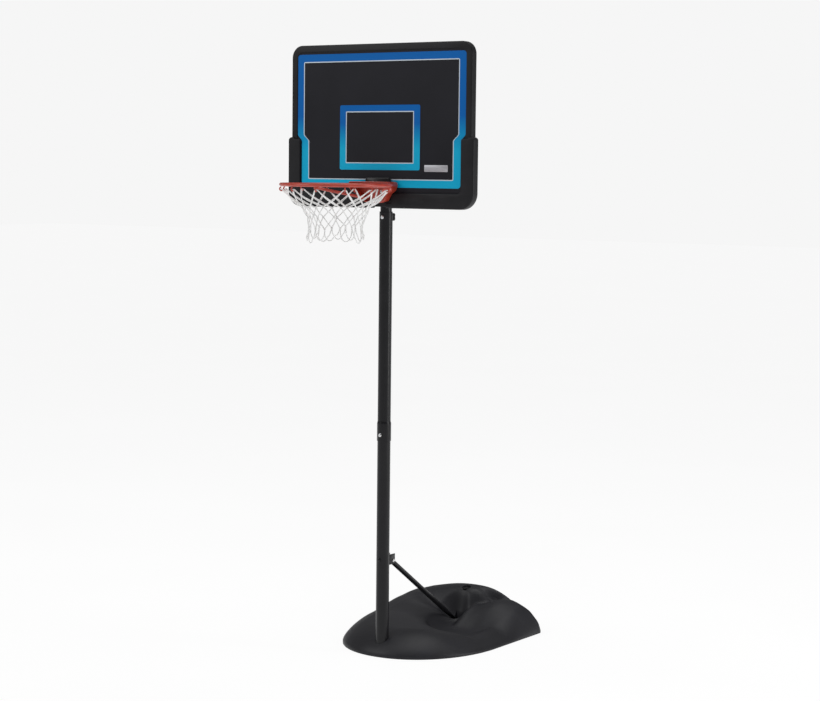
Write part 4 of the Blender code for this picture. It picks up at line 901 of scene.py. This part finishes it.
def hook_tree():
    """Geometry nodes: curled wire hooks at even steps round a ring."""
    tree = bpy.data.node_groups.new("net_hook_row", "GeometryNodeTree")
    face = tree.interface
    sizes = (("Count", "NodeSocketInt", HOOK_COUNT), ("Ring Radius", "NodeSocketFloat", RIM_RADIUS),
             ("Curl Radius", "NodeSocketFloat", HOOK_CURL), ("Wire Radius", "NodeSocketFloat", HOOK_ROD),
             ("Drop", "NodeSocketFloat", 0.0), ("Start Angle", "NodeSocketFloat", 0.0))
    for name, kind, value in sizes:
        face.new_socket(name, in_out="INPUT", socket_type=kind).default_value = value
    face.new_socket("Finish", in_out="INPUT", socket_type="NodeSocketMaterial")
    face.new_socket("Geometry", in_out="OUTPUT", socket_type="NodeSocketGeometry")
    given = add_node(tree, "NodeGroupInput").outputs
    curl = add_node(tree, "GeometryNodeCurveArc", {
        "Resolution": 18, "Radius": given["Curl Radius"], "Start Angle": math.radians(80),
        "Sweep Angle": math.radians(-262)}, mode="RADIUS")
    wire = add_node(tree, "GeometryNodeCurvePrimitiveCircle", {
        "Resolution": 10, "Radius": given["Wire Radius"]}, mode="RADIUS")
    rod = add_node(tree, "GeometryNodeCurveToMesh", {"Curve": curl,
                                                     "Profile Curve": wire, "Fill Caps": True})
    lift = add_node(tree, "ShaderNodeMath", {0: given["Drop"], 1: -1.0}, operation="MULTIPLY")
    shift = add_node(tree, "ShaderNodeCombineXYZ", {"Z": lift})
    stood = add_node(tree, "GeometryNodeTransform", {"Geometry": rod,
                                                     "Rotation": (math.pi / 2, 0.0, 0.0)})
    hung = add_node(tree, "GeometryNodeTransform", {"Geometry": stood,
                                                    "Translation": shift})
    index = add_node(tree, "GeometryNodeInputIndex")
    step = add_node(tree, "ShaderNodeMath", {0: 2 * math.pi, 1: given["Count"]}, operation="DIVIDE")
    turn = add_node(tree, "ShaderNodeMath", {0: index, 1: step,
                                             2: given["Start Angle"]}, operation="MULTIPLY_ADD")
    cosine = add_node(tree, "ShaderNodeMath", {0: turn}, operation="COSINE")
    sine = add_node(tree, "ShaderNodeMath", {0: turn}, operation="SINE")
    around = add_node(tree, "ShaderNodeCombineXYZ", {"X": cosine, "Y": sine})
    reach = add_node(tree, "ShaderNodeVectorMath", {"Vector": around,
                                                    "Scale": given["Ring Radius"]}, operation="SCALE")
    spots = add_node(tree, "GeometryNodePoints", {"Count": given["Count"], "Position": reach})
    facing = add_node(tree, "ShaderNodeCombineXYZ", {"Z": turn})
    hooks = add_node(tree, "GeometryNodeInstanceOnPoints", {"Points": spots,
                                                            "Instance": hung,
                                                            "Rotation": facing})
    real = add_node(tree, "GeometryNodeRealizeInstances", {"Geometry": hooks})
    painted = add_node(tree, "GeometryNodeSetMaterial", {"Geometry": real,
                                                         "Material": given["Finish"]})
    add_node(tree, "NodeGroupOutput", {"Geometry": painted})
    return tree


def make_hooks():
    """The row of net hooks under the ring."""
    tree = hook_tree()
    piece = new_piece("net_hooks", bpy.data.meshes.new("net_hooks"))
    row = piece.modifiers.new("hook_row", "NODES")
    row.node_group = tree
    values = {"Drop": RIM_ROD + TOUCH + HOOK_ROD + HOOK_CURL, "Start Angle": math.radians(HOOK_START),
              "Finish": FINISHES["rim_paint"]}
    for socket in tree.interface.items_tree:
        if socket.item_type == "SOCKET" and socket.in_out == "INPUT" and socket.name in values:
            row[socket.identifier] = values[socket.name]
    applied(piece)
    piece.data.transform(Matrix.Translation((0, RIM_Y, RIM_Z)))
    settle(piece, "rim_paint", [f"net_hook_{i + 1:02d}" for i in range(HOOK_COUNT)])


# -------- net
def net_paths():
    """Centrelines of the net's cords: crossed legs from each hook, rows of diamonds and hanging loops."""
    chance = random.Random(NET_SEED)
    step = 360 / HOOK_COUNT
    hung_z = RIM_Z - RIM_ROD - TOUCH - 2 * HOOK_CURL + CORD_RADIUS
    (first_r, first_z), (second_r, second_z), (third_r, third_z), (loop_r, loop_z) = NET_ROWS
    rows = []
    for shift, radius, z in ((0.0, first_r, first_z), (0.5, second_r, second_z), (0.0, third_r, third_z)):
        rows.append([on_ring(HOOK_START + step * (i + shift) + chance.uniform(-3, 3),
                             radius + chance.uniform(-NET_STRAY, NET_STRAY),
                             z + chance.uniform(-NET_STRAY, NET_STRAY)) for i in range(HOOK_COUNT)])
    first, second, third = rows
    paths = []
    for i in range(HOOK_COUNT):
        angle = HOOK_START + step * i
        for side in (-1, 1):
            knot = first[(i + side) % HOOK_COUNT]
            for twin in (0, 1):
                crown = on_ring(angle, RIM_RADIUS - TWIN_GAP * twin, hung_z)
                start = on_ring(angle + side * 1.5, RIM_RADIUS - 0.002 - TWIN_GAP * twin, hung_z - 0.0008)
                path = [crown, start]
                for share in (0.25, 0.5, 0.75, 0.92):
                    point = start.lerp(knot, share)
                    bulge = math.sin(math.pi * share)
                    out = (point - Vector((0, RIM_Y, point.z))).normalized()
                    # legs of one hand pass outside those of the other
                    point += (out * bulge * (LEG_BULGE + LEG_BULGE * (side > 0))
                              + Vector((0, 0, -LEG_BULGE * bulge)))
                    point += Vector((0, 0, TWIN_SPREAD * (1 - 2 * twin) * bulge))
                    path.append(point)
                path.append(knot)
                paths.append(smoothed(path, 5))
    for upper, lower, steps in ((first, second, (0, -1)), (second, third, (0, 1))):
        for i in range(HOOK_COUNT):
            for shift in steps:
                top, low = upper[i], lower[(i + shift) % HOOK_COUNT]
                belly = top.lerp(low, 0.5)
                belly += (belly - Vector((0, RIM_Y, belly.z))).normalized() * chance.uniform(0.000, 0.004)
                paths.append(smoothed([top, belly, low], 7))
    for i in range(HOOK_COUNT):
        left, right = third[i], third[(i + 1) % HOOK_COUNT]
        mid = left.lerp(right, 0.5)
        out = (mid - Vector((0, RIM_Y, mid.z))).normalized()
        across = (right - left).normalized()
        tip = Vector((0, RIM_Y, loop_z + chance.uniform(-NET_STRAY, 0.011)))
        tip += (out * (loop_r + chance.uniform(-LOOP_STRAY, LOOP_STRAY))
                + across * chance.uniform(-LOOP_STRAY, LOOP_STRAY))
        wide = across * (LOOP_HALF_WIDTH + chance.uniform(-0.003, 0.002))
        rise = Vector((0, 0, LOOP_RISE))
        path = [left, left.lerp(tip - wide, 0.5), tip - wide + rise, tip - wide * 0.55 + rise * 0.28, tip,
                tip + wide * 0.55 + rise * 0.28, tip + wide + rise, right.lerp(tip + wide, 0.5), right]
        paths.append(smoothed(path, 5))
    return paths, first + second + third


def knot_paths(knots):
    """A short overhand wrap of cord at each crossing."""
    chance = random.Random(NET_SEED + 1)
    wraps = []
    for knot in knots:
        out = (knot - Vector((0, RIM_Y, knot.z))).normalized()
        across = Vector((-out.y, out.x, 0))
        tilt = chance.uniform(-0.4, 0.4)
        points = []
        for i in range(15):
            turn = 2 * math.pi * KNOT_TURNS * i / 14
            rise = (i / 14 - 0.5) * 0.0052
            side = across * math.cos(tilt) + Vector((0, 0, math.sin(tilt)))
            points.append(knot + side * 0.0026 * math.cos(turn) + out * 0.0024 * math.sin(turn)
                          + Vector((0, 0, rise)))
        wraps.append(points)
    return wraps


def make_net():
    """The knotted cord net."""
    paths, knots = net_paths()
    piece = sweep("net_cords", paths + knot_paths(knots), CORD_RADIUS, 8)
    settle(piece, "net_cord", ["net"], crease=70)
    total = sum((b - a).length for path in paths for a, b in zip(path, path[1:]))
    print(f"net cord length {total:.2f} m in {len(paths)} runs")


# -------- studio
def make_camera():
    """The camera looks at the hoop from its right front, slightly from above."""
    right = Vector((math.cos(CAMERA_TURN), math.sin(CAMERA_TURN), 0))
    level = math.cos(CAMERA_RISE)
    back = Vector((math.sin(CAMERA_TURN) * level, -math.cos(CAMERA_TURN) * level, math.sin(CAMERA_RISE)))
    up = back.cross(right)
    place = Vector((0, 0, AIM_HEIGHT)) + right * AIM_RIGHT + back * CAMERA_DISTANCE
    across = right * math.cos(CAMERA_ROLL) + up * math.sin(CAMERA_ROLL)
    upward = up * math.cos(CAMERA_ROLL) - right * math.sin(CAMERA_ROLL)
    lens = bpy.data.cameras.new("camera")
    lens.lens = CAMERA_LENS
    lens.sensor_width = 36
    lens.sensor_fit = "HORIZONTAL"
    holder = bpy.data.objects.new("camera", lens)
    holder.matrix_world = Matrix.Translation(place) @ Matrix((across, upward, back)).transposed().to_4x4()
    bpy.context.scene.collection.objects.link(holder)
    bpy.context.scene.camera = holder


def soft_light(name, place, aim, size, power):
    """A large soft box that faces a point."""
    box = bpy.data.lights.new(name, "AREA")
    box.shape = "RECTANGLE"
    box.size, box.size_y = size
    box.energy = power
    holder = bpy.data.objects.new(name, box)
    holder.location = place
    holder.rotation_euler = (Vector(aim) - Vector(place)).to_track_quat("-Z", "Y").to_euler()
    bpy.context.scene.collection.objects.link(holder)


def make_studio():
    """Pale floor, pale surroundings and three soft boxes."""
    mesh = bpy.data.meshes.new("studio_floor")
    reach = FLOOR_REACH
    mesh.from_pydata([(-reach, -reach, 0), (reach, -reach, 0), (reach, reach, 0), (-reach, reach, 0)], [],
                     [(0, 1, 2, 3)])
    mesh.materials.append(floor_paint())
    floor = new_piece("studio_floor", mesh)
    floor.location.z = -FLOOR_DROP
    for name, place, aim, size, power in SOFT_BOXES:
        soft_light(name, place, aim, size, power)
    surroundings = bpy.data.worlds.new("studio")
    surroundings.use_nodes = True
    tree = surroundings.node_tree
    tree.nodes.clear()
    # bright where it is seen, darker as a source of light, as in a studio with black flags
    seen = add_node(tree, "ShaderNodeLightPath").outputs["Is Camera Ray"]
    room = add_node(tree, "ShaderNodeBackground", {"Color": linear("#F4F4F4"), "Strength": ROOM_LIGHT})
    backdrop = add_node(tree, "ShaderNodeBackground", {"Color": linear("#F6F6F6"), "Strength": 1.0})
    mixed = add_node(tree, "ShaderNodeMixShader", {"Fac": seen, 1: room,
                                                   2: backdrop})
    add_node(tree, "ShaderNodeOutputWorld", {"Surface": mixed})
    bpy.context.scene.world = surroundings
    bpy.context.scene.view_settings.view_transform = "Standard"


# -------- assembly
def main():
    """Make every piece, then the finer versions of the small CAD parts."""
    make_camera()
    make_studio()
    make_tank()
    make_pole()
    make_board_surround()
    make_prints()
    make_bumpers()
    make_ring()
    make_braces()
    make_hooks()
    make_net()
    panel = frame["nodes"]["board_panel"]
    for part in panel.material_slots:
        part.material = FINISHES["panel_plastic"]
    for node, edge in ROUNDED_PARTS.items():
        refined(node, edge)
    for node in SMALL_PARTS:
        refined(node)


main()
